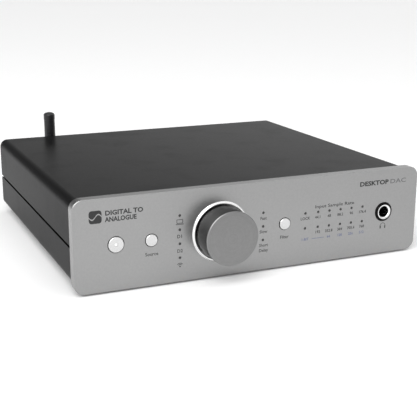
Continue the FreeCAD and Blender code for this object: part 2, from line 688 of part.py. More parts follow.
def make_bottom_cover():
    """The lower half of the case: an open channel with rounded edges, a lip that backs the seam,
    screw channels, vents and the holes for feet, screws and pillars."""
    body = new_body("bottom_channel")
    section = new_sketch(body, "bottom_section", "XZ", "panel_back_y")
    draw_outline(section, [
        ("-cover_half", "lower_edge_z"), ("-cover_half", "base_z"), ("cover_half", "base_z"),
        ("cover_half", "lower_edge_z"), ("inner_half", "lower_edge_z"), ("inner_half", "floor_z"),
        ("-inner_half", "floor_z"), ("-inner_half", "lower_edge_z"),
    ])
    channel = pad(body, section, span("panel_back_y", "cover_end_y"), towards_rear=True)
    outer = dress(body, "Fillet", channel, "cover_radius",
                  runs_at(("-cover_half", "base_z"), ("cover_half", "base_z")))
    dress(body, "Fillet", outer, "inner_radius",
          runs_at(("-inner_half", "floor_z"), ("inner_half", "floor_z")))

    lips = new_sketch(body, "seam_lips", "XZ", "rear_inner_y")
    for side in ("-1", "1"):
        wall = f"{side} * inner_half"
        outer_x = f"{side} * (inner_half - slide_clearance)"
        inner_x = f"{side} * (inner_half - slide_clearance - lip_wall)"
        draw_outline(lips, [
            (wall, "lower_edge_z - lip_root"), (wall, "lower_edge_z"), (outer_x, "lower_edge_z"),
            (outer_x, "upper_edge_z + lip_rise"), (inner_x, "upper_edge_z + lip_rise"),
            (inner_x, "lower_edge_z - lip_root"),
        ])
    pad(body, lips, span("bracket_back_y", "rear_inner_y"))
    add_screw_channels(body, "bottom", "low_boss_z")

    holes = new_sketch(body, "base_holes", "XY", "floor_z")
    for x, y in foot_places():
        draw_circle(holes, x, y, "foot_stem_radius + running_clearance")
    for x in base_screw_places():
        draw_circle(holes, x, BASE_SCREW_Y, "hole_radius")
    pocket(body, holes, "cover_wall")

    vent = new_sketch(body, "vent_slot", "XY", "floor_z")
    draw_slot(vent, "(1 - vent_count) / 2 * vent_pitch", "board_front_y + 95", "vent_length", "vent_width")
    slot = pocket(body, vent, "cover_wall")
    row = body.newObject("PartDesign::LinearPattern", "vent_row")
    row.Originals = [slot]
    row.Direction = (vent, ["H_Axis"])
    bind(row, "Length", "(vent_count - 1) * vent_pitch")
    bind(row, "Occurrences", "vent_count")
    body.Tip = row
    DOC.recompute()

    sinks = [rod(f"base_sink_{k}", "Z", (x, BASE_SCREW_Y), ("base_z", "floor_z"), "screw_head_radius",
                 "hole_radius") for k, x in enumerate(base_screw_places())]
    keep(cut("bottom_cover", body, sinks), "bottom_cover")

    screws = []
    for k, x in enumerate(base_screw_places()):
        head = rod(f"base_screw_{k}_head", "Z", (x, BASE_SCREW_Y), ("base_z", "floor_z"),
                   "screw_head_radius - thread_clearance", "screw_radius")
        shank = rod(f"base_screw_{k}_shank", "Z", (x, BASE_SCREW_Y), ("base_z", "floor_z + bracket_wall + 1"),
                    "screw_radius")
        recess = hexagon(f"base_screw_{k}_recess", "Z", (x, BASE_SCREW_Y),
                         ("base_z", "base_z + socket_depth"),
                         "driver_radius")
        screws.append(cut(f"base_screw_{k}", join(f"base_screw_{k}_solid", [head, shank]), [recess]))
    keep(group("base_screws", screws), "base_screws")


def make_top_cover():
    """The upper half of the case, with two screw channels."""
    body = new_body("top_cover")
    section = new_sketch(body, "top_section", "XZ", "panel_back_y")
    draw_outline(section, [
        ("-cover_half", "upper_edge_z"), ("-inner_half", "upper_edge_z"), ("-inner_half", "ceiling_z"),
        ("inner_half", "ceiling_z"), ("inner_half", "upper_edge_z"), ("cover_half", "upper_edge_z"),
        ("cover_half", "top_z"), ("-cover_half", "top_z"),
    ])
    channel = pad(body, section, span("panel_back_y", "cover_end_y"), towards_rear=True)
    outer = dress(body, "Fillet", channel, "cover_radius",
                  runs_at(("-cover_half", "top_z"), ("cover_half", "top_z")))
    inner = dress(body, "Fillet", outer, "inner_radius",
                  runs_at(("-inner_half", "ceiling_z"), ("inner_half", "ceiling_z")))
    dress(body, "Chamfer", inner, "0.3",
          runs_at(("-cover_half", "upper_edge_z"), ("cover_half", "upper_edge_z")))
    add_screw_channels(body, "top", "high_boss_z")
    keep(body, "top_cover")


def make_feet():
    """Four rubber feet, each held by a stem with a barb that snaps through the base."""
    feet = []
    for k, (x, y) in enumerate(foot_places()):
        pad_low = rod(f"foot_{k}_pad", "Z", (x, y), ("0", "0.8"), "foot_radius - 0.8", "foot_radius")
        pad_high = rod(f"foot_{k}_disc", "Z", (x, y), ("0.8", "base_z"), "foot_radius")
        stem = rod(f"foot_{k}_stem", "Z", (x, y), ("base_z", "floor_z"), "foot_stem_radius")
        barb = rod(f"foot_{k}_barb", "Z", (x, y), ("floor_z", "floor_z + 2.2"), "foot_stem_radius + 0.8",
                   "foot_stem_radius - 0.9")
        feet.append(join(f"foot_{k}", [pad_low, pad_high, stem, barb]))
    keep(group("feet", feet), "feet")


# ---------------------------------------------------------------- front controls

def make_trim_ring():
    """The bright ring that stands round the knob, seated in the panel."""
    ring = turned("trim_ring", "knob_x", "middle_z", [
        ("ring_inner", "front_y + ring_seat_depth - running_clearance"),
        ("ring_inner", "front_y - ring_height + ring_edge"),
        ("ring_inner + ring_edge", "front_y - ring_height"),
        ("ring_crest", "front_y - ring_height"),
        ("ring_outer", "front_y - ring_edge"),
        ("ring_outer", "front_y"),
        ("ring_spigot", "front_y"),
        ("ring_spigot", "front_y + ring_seat_depth - running_clearance"),
    ])
    keep(ring, "knob_trim_ring")


def make_knob():
    """A hollow turned knob, the plastic hub pressed into it, and the encoder's shaft."""
    face = "front_y - knob_length"
    back = "front_y - knob_gap"
    cap = turned("knob_cap", "knob_x", "middle_z", [
        ("0", face), ("knob_radius - knob_chamfer", face), ("knob_radius", f"{face} + knob_chamfer"),
        ("knob_radius", f"{back} - knob_chamfer"), ("knob_radius - knob_chamfer", back),
        ("knob_radius - knob_skin", back), ("knob_radius - knob_skin", f"{face} + knob_face"),
        ("0", f"{face} + knob_face"),
    ])
    keep(cap, "knob_cap")

    axis = ("knob_x", "middle_z")
    web = f"{face} + knob_face"
    shaft_tip = f"{web} + 1.2"
    disc = rod("hub_disc", "Y", axis, (web, f"{web} + hub_web"),
               "knob_radius - knob_skin - running_clearance")
    boss = rod("hub_boss", "Y", axis, (web, "front_y - bushing_reach - 0.6"), "hub_radius")
    bore = rod("hub_bore", "Y", axis, (f"{shaft_tip} - 0.2", back), "shaft_radius + running_clearance")
    flat = block("hub_flat", ("knob_x - shaft_radius * 2", "knob_x + shaft_radius * 2"),
                 (web, "front_y - bushing_reach - 2"),
                 ("middle_z + shaft_radius - shaft_flat + running_clearance", "middle_z + shaft_radius * 2"))
    keep(cut("knob_hub", join("hub_solid", [disc, boss]), [cut("hub_d_bore", bore, [flat])]), "knob_hub")

    round_shaft = rod("shaft_round", "Y", axis, (shaft_tip, "panel_back_y + 4"), "shaft_radius")
    shaft_cut = block("shaft_cut", ("knob_x - shaft_radius * 2", "knob_x + shaft_radius * 2"),
                      (f"{shaft_tip} - 1", "front_y - bushing_reach - 1.8"),
                      ("middle_z + shaft_radius - shaft_flat", "middle_z + shaft_radius * 2"))
    keep(cut("encoder_shaft", round_shaft, [shaft_cut]), "encoder_shaft")


def make_encoder():
    """The encoder's body with its threaded neck, and the nut and washer that hold it to the panel."""
    axis = ("knob_x", "middle_z")
    half = "encoder_size / 2"
    case = block("encoder_case", (f"knob_x - {half}", f"knob_x + {half}"), ("panel_back_y", "front_board_y"),
                 (f"middle_z - {half}", f"middle_z + {half}"))
    neck = rod("encoder_neck", "Y", axis, ("front_y - bushing_reach", "panel_back_y"), "bushing_radius")
    bore = rod("encoder_bore", "Y", axis, ("front_y - bushing_reach", "panel_back_y + 4.5"),
               "shaft_radius + running_clearance")
    keep(cut("encoder_body", join("encoder_solid", [case, neck]), [bore]), "encoder_body")

    hole = "bushing_radius + running_clearance"
    floor = "front_y + ring_seat_depth"
    washer = rod("encoder_washer_disc", "Y", axis, (f"{floor} - 0.5", floor), "6")
    washer_hole = rod("encoder_washer_hole", "Y", axis, (f"{floor} - 0.5", floor), hole)
    nut = hexagon("encoder_nut_hex", "Y", axis, (f"{floor} - 2.7", f"{floor} - 0.5"), "5.8")
    nut_hole = rod("encoder_nut_hole", "Y", axis, (f"{floor} - 2.7", f"{floor} - 0.5"), hole)
    keep(group("encoder_nut", [cut("encoder_washer", washer, [washer_hole]),
                               cut("encoder_hex_nut", nut, [nut_hole])]), "encoder_nut")


def button_points(radius, lens_radius):
    """A button's section, from its face to the end of its stem, as radius and Y formulas. A lens
    leaves a hole along its axis."""
    face = "front_y - button_proud"
    collar = "pocket_y + running_clearance"
    stem_end = "front_board_y - switch_height + 1"
    points = [
        (f"{radius} - button_edge", face), (radius, f"{face} + button_edge"), (radius, collar),
        (f"{radius} + button_collar", collar), (f"{radius} + button_collar", f"{collar} + 1.2"),
        ("button_stem", f"{collar} + 1.2"), ("button_stem", stem_end),
    ]
    if lens_radius is None:
        return [("0", face), *points, ("0", stem_end)]
    hole = f"{lens_radius} + running_clearance"
    return [(hole, face), *points[:5], ("button_stem", f"{collar} + 1.2"), ("button_stem", stem_end),
            ("0", stem_end), ("0", f"{collar} + 1"), (hole, f"{collar} + 1")]


def make_buttons():
    """The three push buttons, the power button's lens, and the switches behind them."""
    power = turned("power_button", "power_x", "middle_z", button_points("power_radius", "power_lens_radius"))
    keep(power, "power_button")
    lens = rod("power_lens", "Y", ("power_x", "middle_z"),
               ("front_y - button_proud + 0.05", "pocket_y + running_clearance + 0.9"), "power_lens_radius")
    keep(lens, "power_lens")
    for name, x in SMALL_BUTTONS.items():
        keep(turned(name, x, "middle_z", button_points("small_radius", None)), name)

    switches = []
    half = "switch_size / 2"
    for name, x in {"power_button": "power_x", **SMALL_BUTTONS}.items():
        case = block(f"{name}_switch_case", (f"{x} - {half}", f"{x} + {half}"),
                     ("front_board_y - switch_height", "front_board_y"),
                     (f"middle_z - {half}", f"middle_z + {half}"))
        well = rod(f"{name}_switch_well", "Y", (x, "middle_z"),
                   ("front_board_y - switch_height", "front_board_y - switch_height + button_travel + 1.4"),
                   "button_stem + 0.2")
        switches.append(cut(f"{name}_switch", case, [well]))
    keep(group("button_switches", switches), "button_switches")


def make_indicators():
    """Light pipes behind every dot, and the lights that feed them on the front board."""
    pipe_end = "front_board_y - led_height - 0.3"
    pipes, lights = [], []
    for k, (x, z) in enumerate(SOURCE_DOTS + FILTER_DOTS + RATE_DOTS):
        core = rod(f"pipe_{k}_core", "Y", (x, z), ("front_y + dot_recess", pipe_end), "dot_radius")
        collar = rod(f"pipe_{k}_collar", "Y", (x, z), ("pocket_y + running_clearance", pipe_end),
                     "dot_collar")
        pipes.append(join(f"light_pipe_{k}", [core, collar]))
        lights.append(block(f"indicator_light_{k}", (f"{x} - 0.8", f"{x} + 0.8"),
                            ("front_board_y - led_height", "front_board_y"), (f"{z} - 0.6", f"{z} + 0.6")))
    keep(group("light_pipes", pipes), "light_pipes")
    keep(group("indicator_lights", lights), "indicator_lights")


def make_headphone_socket():
    """The bright bushing in the panel, the housing behind it and its spring contacts."""
    bushing = turned("phones_bushing", "phones_x", "middle_z", [
        ("phones_mouth", "front_y - phones_proud"), ("phones_crest", "front_y - phones_proud"),
        ("phones_flange", "front_y"), ("phones_neck", "front_y"), ("phones_neck", "panel_back_y + 2"),
        ("phones_bore", "panel_back_y + 2"), ("phones_bore", "front_y - phones_proud + 0.6"),
    ])
    keep(bushing, "phones_bushing")

    half = "phones_body_width / 2"
    end = "panel_back_y + phones_body_depth"
    axis = ("phones_x", "middle_z")
    xs = (f"phones_x - {half}", f"phones_x + {half}")
    upper = block("phones_upper", xs, ("panel_back_y", end),
                  ("middle_z - window_drop + edge_clearance", "middle_z + phones_body_rise"))
    leg = block("phones_leg", xs, ("bracket_back_y + edge_clearance", end), ("board_top_z", "middle_z"))
    case = join("phones_case", [upper, leg])
    seat = rod("phones_seat", "Y", axis, ("panel_back_y", "panel_back_y + 2.1"),
               "phones_neck + running_clearance")
    bore = rod("phones_inner", "Y", axis, ("panel_back_y", end), "phones_bore + 0.3")
    slots, strips = [], []
    for k, (low, high) in enumerate((("-6.6", "-5.6"), ("5.6", "6.6"))):
        slots.append(block(f"phones_slot_{k}", (f"phones_x + {low} - 0.1", f"phones_x + {high} + 0.1"),
                           ("panel_back_y + 8", "panel_back_y + 22"), ("board_top_z", "middle_z + 2")))
        strips.append(block(f"phones_strip_{k}", (f"phones_x + {low} + 0.2", f"phones_x + {high} - 0.2"),
                            ("panel_back_y + 9", "panel_back_y + 21"),
                            ("board_top_z + 0.1", "middle_z + 1.8")))
    keep(cut("phones_housing", case, [seat, bore, *slots]), "phones_housing")
    keep(group("phones_contacts", strips), "phones_contacts")


# ---------------------------------------------------------------- boards

def make_front_board():
    """The board behind the panel. Returns the pillars that hold it to the bracket."""
    body = new_body("front_board")
    outline = new_sketch(body, "front_board_outline", "XZ", "front_board_y")
    draw_rectangle(outline, ("-board_half_width", "phones_x - phones_body_width / 2 - 2"),
                   ("floor_z + bracket_wall + 0.4", "ceiling_z - 1"))
    pad(body, outline, "board_thickness", towards_rear=True)
    holes = new_sketch(body, "front_board_holes", "XZ", "front_board_y")
    for x, z in front_pillar_places():
        draw_circle(holes, x, z, "hole_radius")
    pocket(body, holes, "board_thickness")
    keep(body, "front_board")

    pillars = []
    for k, (x, z) in enumerate(front_pillar_places()):
        post = rod(f"front_post_{k}", "Y", (x, z), ("bracket_back_y", "front_board_y"), "pillar_radius + 0.3")
        thread = rod(f"front_thread_{k}", "Y", (x, z), ("bracket_back_y + 0.8", "front_board_y"),
                     "tapped_radius")
        pillars.append(cut(f"front_pillar_{k}", post, [thread]))
    return pillars


def front_pillar_places():
    """Where pillars carry the front board."""
    xs = ("-(board_half_width - 7)", "phones_x - phones_body_width / 2 - 7")
    zs = ("middle_z - window_drop - 2.4", "middle_z + window_rise + 3.4")
    return [(x, z) for x in xs for z in zs]


def make_main_board(front_pillars):
    """The main board and the pillars under it, and every screw inside the case."""
    body = new_body("main_board")
    outline = new_sketch(body, "main_board_outline", "XY", "board_z")
    draw_rectangle(outline, ("-board_half_width", "board_half_width"), ("board_front_y", "board_rear_y"))
    pad(body, outline, "board_thickness")
    holes = new_sketch(body, "main_board_holes", "XY", "board_top_z")
    for x, y in standoff_places():
        draw_circle(holes, x, y, "hole_radius")
    pocket(body, holes, "board_thickness")
    keep(body, "main_board")

    standoffs = []
    for k, (x, y) in enumerate(standoff_places()):
        post = hexagon(f"standoff_post_{k}", "Z", (x, y), ("floor_z", "board_z"), "3.1")
        thread = rod(f"standoff_thread_{k}", "Z", (x, y), ("floor_z + 0.5", "board_z"), "tapped_radius")
        standoffs.append(cut(f"standoff_{k}", post, [thread]))
    keep(group("board_pillars", standoffs + front_pillars), "board_pillars")

    screws = [
        pan_screw(f"board_screw_{k}", "Z", (x, y), "board_top_z", "board_z - 4", heads_back=True)
        for k, (x, y) in enumerate(standoff_places())
    ]
    screws += [
        pan_screw(f"front_screw_{k}", "Y", (x, z), "front_board_back_y", "front_board_y - 3.5",
                  heads_back=True)
        for k, (x, z) in enumerate(front_pillar_places())
    ]
    keep(group("board_screws", screws), "board_screws")


def make_ribbon():
    """The flat cable from the front board down to the main board, and its two sockets."""
    xs = ("-ribbon_width / 2", "ribbon_width / 2")
    inner = "ribbon_bend - ribbon_thickness"
    start = "front_board_back_y + 4"
    bend_y = "front_board_back_y + 9"
    drop_y = f"{bend_y} + ribbon_bend"
    bend_z = "ribbon_z - ribbon_bend + ribbon_thickness / 2"
    flat = block("ribbon_flat", xs, (start, bend_y),
                 ("ribbon_z - ribbon_thickness / 2", "ribbon_z + ribbon_thickness / 2"))
    drop = block("ribbon_drop", xs, (f"{drop_y} - ribbon_thickness", drop_y), ("board_top_z + 2.5", bend_z))
    quarters = []
    for name, radius in (("outer", "ribbon_bend"), ("inner", inner)):
        quarter = DOC.addObject("Part::Cylinder", f"ribbon_{name}")
        bind(quarter, "Radius", radius)
        bind(quarter, "Height", "ribbon_width")
        quarter.Angle = 90
        # The quarter starts on the old X axis, so the turn puts it between +Y and +Z.
        turn = FreeCAD.Rotation(FreeCAD.Vector(0, 1, 0), FreeCAD.Vector(0, 0, 1), FreeCAD.Vector(1, 0, 0),
                                "XYZ")
        quarters.append(place(quarter, xs[0], bend_y, bend_z, rotation=turn))
    bend = cut("ribbon_curve", quarters[0], [quarters[1]])
    keep(join("ribbon_cable", [flat, bend, drop]), "ribbon_cable")

    wide = ("-ribbon_width / 2 - 2", "ribbon_width / 2 + 2")
    slim = ("-ribbon_width / 2 - 0.1", "ribbon_width / 2 + 0.1")
    upper = block("front_socket_case", wide, ("front_board_back_y", f"{start} + 1"),
                  ("ribbon_z - 2", "ribbon_z + 2"))
    upper_slot = block("front_socket_slot", slim, (f"{start} - 0.1", f"{start} + 1"),
                       ("ribbon_z - 0.3", "ribbon_z + 0.3"))
    lower = block("main_socket_case", wide, (f"{drop_y} - 2.2", f"{drop_y} + 1.8"),
                  ("board_top_z", "board_top_z + 4"))
    lower_slot = block("main_socket_slot", slim, (f"{drop_y} - ribbon_thickness - 0.1", f"{drop_y} + 0.1"),
                       ("board_top_z + 2.4", "board_top_z + 4"))
    keep(group("ribbon_sockets",
               [cut("front_socket", upper, [upper_slot]), cut("main_socket", lower, [lower_slot])]),
         "ribbon_sockets")


# Parts that stand on the main board: X, distance from the rear panel, then sizes.
LARGE_CAPACITORS = [(x, back) for x in (60, 76) for back in (38, 55, 72)]
SMALL_CAPACITORS = [(x, back) for x in (-20, -8, 4, 16) for back in (62, 76)]
FILM_CAPACITORS = [(x, back) for x in (10, 18, 26, 34) for back in (38, 50)]
RELAYS = [(4.5, 24), (26, 24)]
AMPLIFIER_CHIPS = [(x, back) for x in (12, 22, 32) for back in (92, 104)]
CONVERTER_CHIPS = [(-16, 98), (-16, 114)]
REGULATORS = [48, 60, 72]


def on_board(name, x, back, width, depth, height, lift=0):
    """A box on the main board, X and distance from the rear panel to its middle."""
    return block(name, (f"{x} - {width} / 2", f"{x} + {width} / 2"),
                 (f"rear_inner_y - {back} - {depth} / 2", f"rear_inner_y - {back} + {depth} / 2"),
                 (f"board_top_z + {lift}", f"board_top_z + {lift} + {height}"))


def can_on_board(name, x, back, radius, height):
    """A round can on the main board, with a groove near its foot."""
    axis = (f"{x}", f"rear_inner_y - {back}")
    foot = rod(f"{name}_foot", "Z", axis, ("board_top_z", "board_top_z + 1.2"), radius)
    neck = rod(f"{name}_neck", "Z", axis, ("board_top_z + 1.2", "board_top_z + 2"), f"{radius} - 0.4")
    can = rod(f"{name}_can", "Z", axis, ("board_top_z + 2", f"board_top_z + {height}"), radius)
    return join(name, [foot, neck, can])


def make_board_parts():
    """Capacitors, relays, chips, regulators with their heat sink, and the clock and choke parts."""
    cans = [can_on_board(f"large_capacitor_{k}", x, back, 6.3, 20)
            for k, (x, back) in enumerate(LARGE_CAPACITORS)]
    cans += [can_on_board(f"small_capacitor_{k}", x, back, 4, 11)
             for k, (x, back) in enumerate(SMALL_CAPACITORS)]
    keep(group("electrolytic_capacitors", cans), "electrolytic_capacitors")
    keep(group("film_capacitors", [on_board(f"film_capacitor_{k}", x, back, 4.5, 9, 8)
                                   for k, (x, back) in enumerate(FILM_CAPACITORS)]), "film_capacitors")
    keep(group("output_relays", [on_board(f"output_relay_{k}", x, back, 10, 14, 10)
                                 for k, (x, back) in enumerate(RELAYS)]), "output_relays")
    chips = [on_board("signal_processor", -52, 70, 16, 16, 1.5)]
    chips += [on_board(f"amplifier_chip_{k}", x, back, 5, 4, 1.6)
              for k, (x, back) in enumerate(AMPLIFIER_CHIPS)]
    chips += [on_board(f"converter_chip_{k}", x, back, 8, 8, 1.2)
              for k, (x, back) in enumerate(CONVERTER_CHIPS)]
    chips += [on_board(f"clock_crystal_{k}", x, 92, 5, 7, 2.4) for k, x in enumerate((-60, -48))]
    keep(group("circuit_chips", chips), "circuit_chips")

    regulators = [on_board(f"regulator_{k}", 86.2, back, 4.5, 10, 15, 2.5)
                  for k, back in enumerate(REGULATORS)]
    keep(group("voltage_regulators", regulators), "voltage_regulators")
    plate = on_board("sink_plate", 90.5, 60, 4, 42, 24)
    fins = [on_board(f"sink_fin_{k}", 94, 40 + 8 * k, 3.2, 1.6, 24) for k in range(6)]
    keep(join("heat_sink", [plate, *fins]), "heat_sink")


def make_radio():
    """The wireless module on the main board and the thin lead from it to the antenna's socket."""
    board = on_board("radio_board", -82, 21, 18, 20, 1)
    can = on_board("radio_can", -82, 25, 15, 12, 2.2, 1)
    jack = rod("radio_jack", "Z", ("-78", "rear_inner_y - 15.6"), ("board_top_z + 1", "board_top_z + 2.4"),
               "1.3")
    keep(join("radio_module", [board, can, jack]), "radio_module")

    # The lead leaves the socket straight inwards, turns down and across, and ends on the module.
    points = [FreeCAD.Vector(*(number(text) for text in point)) for point in (
        ("antenna_x", "rear_inner_y - 7", "antenna_z"),
        ("antenna_x", "rear_inner_y - 15.6", "antenna_z"),
        ("-78", "rear_inner_y - 15.6", "antenna_z - 3"),
        ("-78", "rear_inner_y - 15.6", "board_top_z + 2.45"),
    )]
    lead = DOC.addObject("Part::Feature", "antenna_lead")
    lead.Shape = tube_along(points, number("lead_radius"))
    keep(lead, "antenna_lead")


def tube_along(points, radius):
    """A round tube on straight runs joined by tangent arcs, each as large as its two runs allow."""
    edges, start = [], points[0]
    for before, corner, after in zip(points, points[1:], points[2:]):
        back, ahead = (before - corner), (after - corner)
        reach = 0.45 * min(back.Length, ahead.Length)
        back.normalize()
        ahead.normalize()
        half_turn = (math.pi - back.getAngle(ahead)) / 2
        inward = back + ahead
        inward.normalize()
        bend = reach / math.tan(half_turn)
        centre = corner + inward * (bend / math.cos(half_turn))
        arc_start, arc_end = corner + back * reach, corner + ahead * reach
        edges.append(Part.LineSegment(start, arc_start).toShape())
        edges.append(Part.Arc(arc_start, centre - inward * bend, arc_end).toShape())
        print(f"lead bend radius {bend:.1f} mm")
        start = arc_end
    edges.append(Part.LineSegment(start, points[-1]).toShape())
    path = Part.Wire(edges)
    ring = Part.Wire([Part.makeCircle(radius, points[0], points[1] - points[0])])
    return path.makePipeShell([ring], True, True)


# ---------------------------------------------------------------- rear panel and sockets

def make_rear_panel():
    """The plate inside the covers' rear edge, with every socket's opening, and its four screws."""
    body = new_body("rear_panel")
    outline = new_sketch(body, "rear_outline", "XZ", "rear_inner_y")
    heights = ("floor_z + edge_clearance", "ceiling_z - edge_clearance")
    draw_rectangle(outline, ("-plate_half", "plate_half"), heights)
    plate = pad(body, outline, "rear_wall", towards_rear=True)
    dress(body, "Fillet", plate, "inner_radius", runs_at(*[(x, z) for x in ("-plate_half", "plate_half")
                                                           for z in heights]))
    holes = new_sketch(body, "rear_round_holes", "XZ", "rear_inner_y")
    for x in ("-boss_x", "boss_x"):
        for z in ("low_boss_z", "high_boss_z"):
            draw_circle(holes, x, z, "hole_radius")
    for x in ("balanced_right_x", "balanced_left_x"):
        draw_circle(holes, x, "balanced_z", "balanced_shell + edge_clearance")
        for sx, sz in ((-1, 1), (1, -1)):
            draw_circle(holes, f"{x} + {sx} * 9.5", f"balanced_z + {sz} * 12", "tapped_radius")
    for x, z in phono_places():
        draw_circle(holes, x, z, "phono_ring + through_clearance / 2")
    draw_circle(holes, "inlet_x", "inlet_z", "inlet_nose + edge_clearance")
    draw_circle(holes, "antenna_x", "antenna_z", "thread_radius + slide_clearance")
    pocket(body, holes, "rear_wall")

    squares = new_sketch(body, "rear_square_holes", "XZ", "rear_inner_y")
    reach = "optical_half + optical_wall + edge_clearance"
    for x in ("digital_one_x", "digital_two_x"):
        draw_rectangle(squares, (f"{x} - ({reach})", f"{x} + {reach}"),
                       (f"board_top_z + 0.5", f"optical_z + {reach}"))
    draw_rectangle(squares,
                   ("usb_x - usb_width / 2 - edge_clearance", "usb_x + usb_width / 2 + edge_clearance"),
                   ("usb_z - usb_height / 2 - edge_clearance", "usb_z + usb_height / 2 + edge_clearance"))
    pocket(body, squares, "rear_wall")
    keep(body, "rear_panel")

    screws = [
        pan_screw(f"rear_screw_{k}", "Y", (x, z), "rear_face_y", "rear_inner_y - 8", heads_back=True)
        for k, (x, z) in enumerate((x, z) for x in ("-boss_x", "boss_x")
                                   for z in ("low_boss_z", "high_boss_z"))
    ]
    keep(group("rear_screws", screws), "rear_screws")


def make_balanced_outputs():
    """Two three-contact balanced outputs, each a flanged cup with contacts and two screws."""
    shells, contacts, screws = [], [], []
    for side, x in (("right", "balanced_right_x"), ("left", "balanced_left_x")):
        name = f"balanced_{side}"
        axis = (x, "balanced_z")
        flange = block(f"{name}_flange", (f"{x} - balanced_width / 2", f"{x} + balanced_width / 2"),
                       ("rear_face_y", "balanced_out_y"),
                       ("balanced_z - balanced_height / 2", "balanced_z + balanced_height / 2"))
        rounded = DOC.addObject("Part::Fillet", f"{name}_rounded")
        rounded.Base = flange
        DOC.recompute()
        rounded.Edges = [(k, 3.0, 3.0) for k, edge in enumerate(flange.Shape.Edges, start=1)
                         if edge.BoundBox.YLength > 0.1]
        cup = rod(f"{name}_cup", "Y", axis, ("rear_face_y - balanced_depth", "rear_face_y"), "balanced_shell")
        leg = block(f"{name}_leg", (f"{x} - 8", f"{x} + 8"),
                    ("rear_face_y - balanced_depth", "rear_inner_y - 1"), ("board_top_z", "balanced_z - 6"))
        hollow = rod(f"{name}_hollow", "Y", axis, ("rear_face_y - balanced_hollow", "balanced_out_y"),
                     "balanced_cup")
        key = block(f"{name}_key", (f"{x} - 1.2", f"{x} + 1.2"),
                    ("rear_face_y - balanced_hollow + 3", "balanced_out_y"),
                    ("balanced_z + balanced_cup - 1", "balanced_z + balanced_cup + 1.2"))
        tools = [hollow, key]
        for k, angle in enumerate((30, 150, 270)):
            spot = (f"{x} + contact_circle * cos({angle})", f"balanced_z + contact_circle * sin({angle})")
            tools.append(rod(f"{name}_well_{k}", "Y", spot,
                             ("rear_face_y - balanced_hollow - 2.1", "rear_face_y - balanced_hollow + 1"),
                             "contact_radius + running_clearance"))
            pin = rod(f"{name}_pin_{k}", "Y", spot,
                      ("rear_face_y - balanced_hollow - 2", "rear_face_y - 0.4"),
                      "contact_radius")
            tip = rod(f"{name}_tip_{k}", "Y", spot, ("rear_face_y - 0.4", "rear_face_y + 0.6"),
                      "contact_radius",
                      "contact_radius / 2")
            contacts.append(join(f"{name}_contact_{k}", [pin, tip]))
        for k, (sx, sz) in enumerate(((-1, 1), (1, -1))):
            spot = (f"{x} + {sx} * 9.5", f"balanced_z + {sz} * 12")
            tools.append(rod(f"{name}_screw_hole_{k}", "Y", spot, ("rear_face_y", "balanced_out_y"),
                             "hole_radius"))
            screws.append(pan_screw(f"{name}_screw_{k}", "Y", spot, "balanced_out_y", "rear_inner_y - 1.5",
                                    heads_back=True))
        shells.append(cut(f"{name}_shell", join(f"{name}_solid", [rounded, cup, leg]), tools))
    keep(group("balanced_output_shells", shells), "balanced_output_shells")
    keep(group("balanced_output_contacts", contacts), "balanced_output_contacts")
    keep(group("balanced_output_screws", screws), "balanced_output_screws")


def phono_places():
    """The middles of the phono sockets: two outputs, then a coaxial input over each optical one."""
    return [("phono_x", "phono_high_z"), ("phono_x", "phono_low_z"),
            ("digital_two_x", "phono_high_z"), ("digital_one_x", "phono_high_z")]


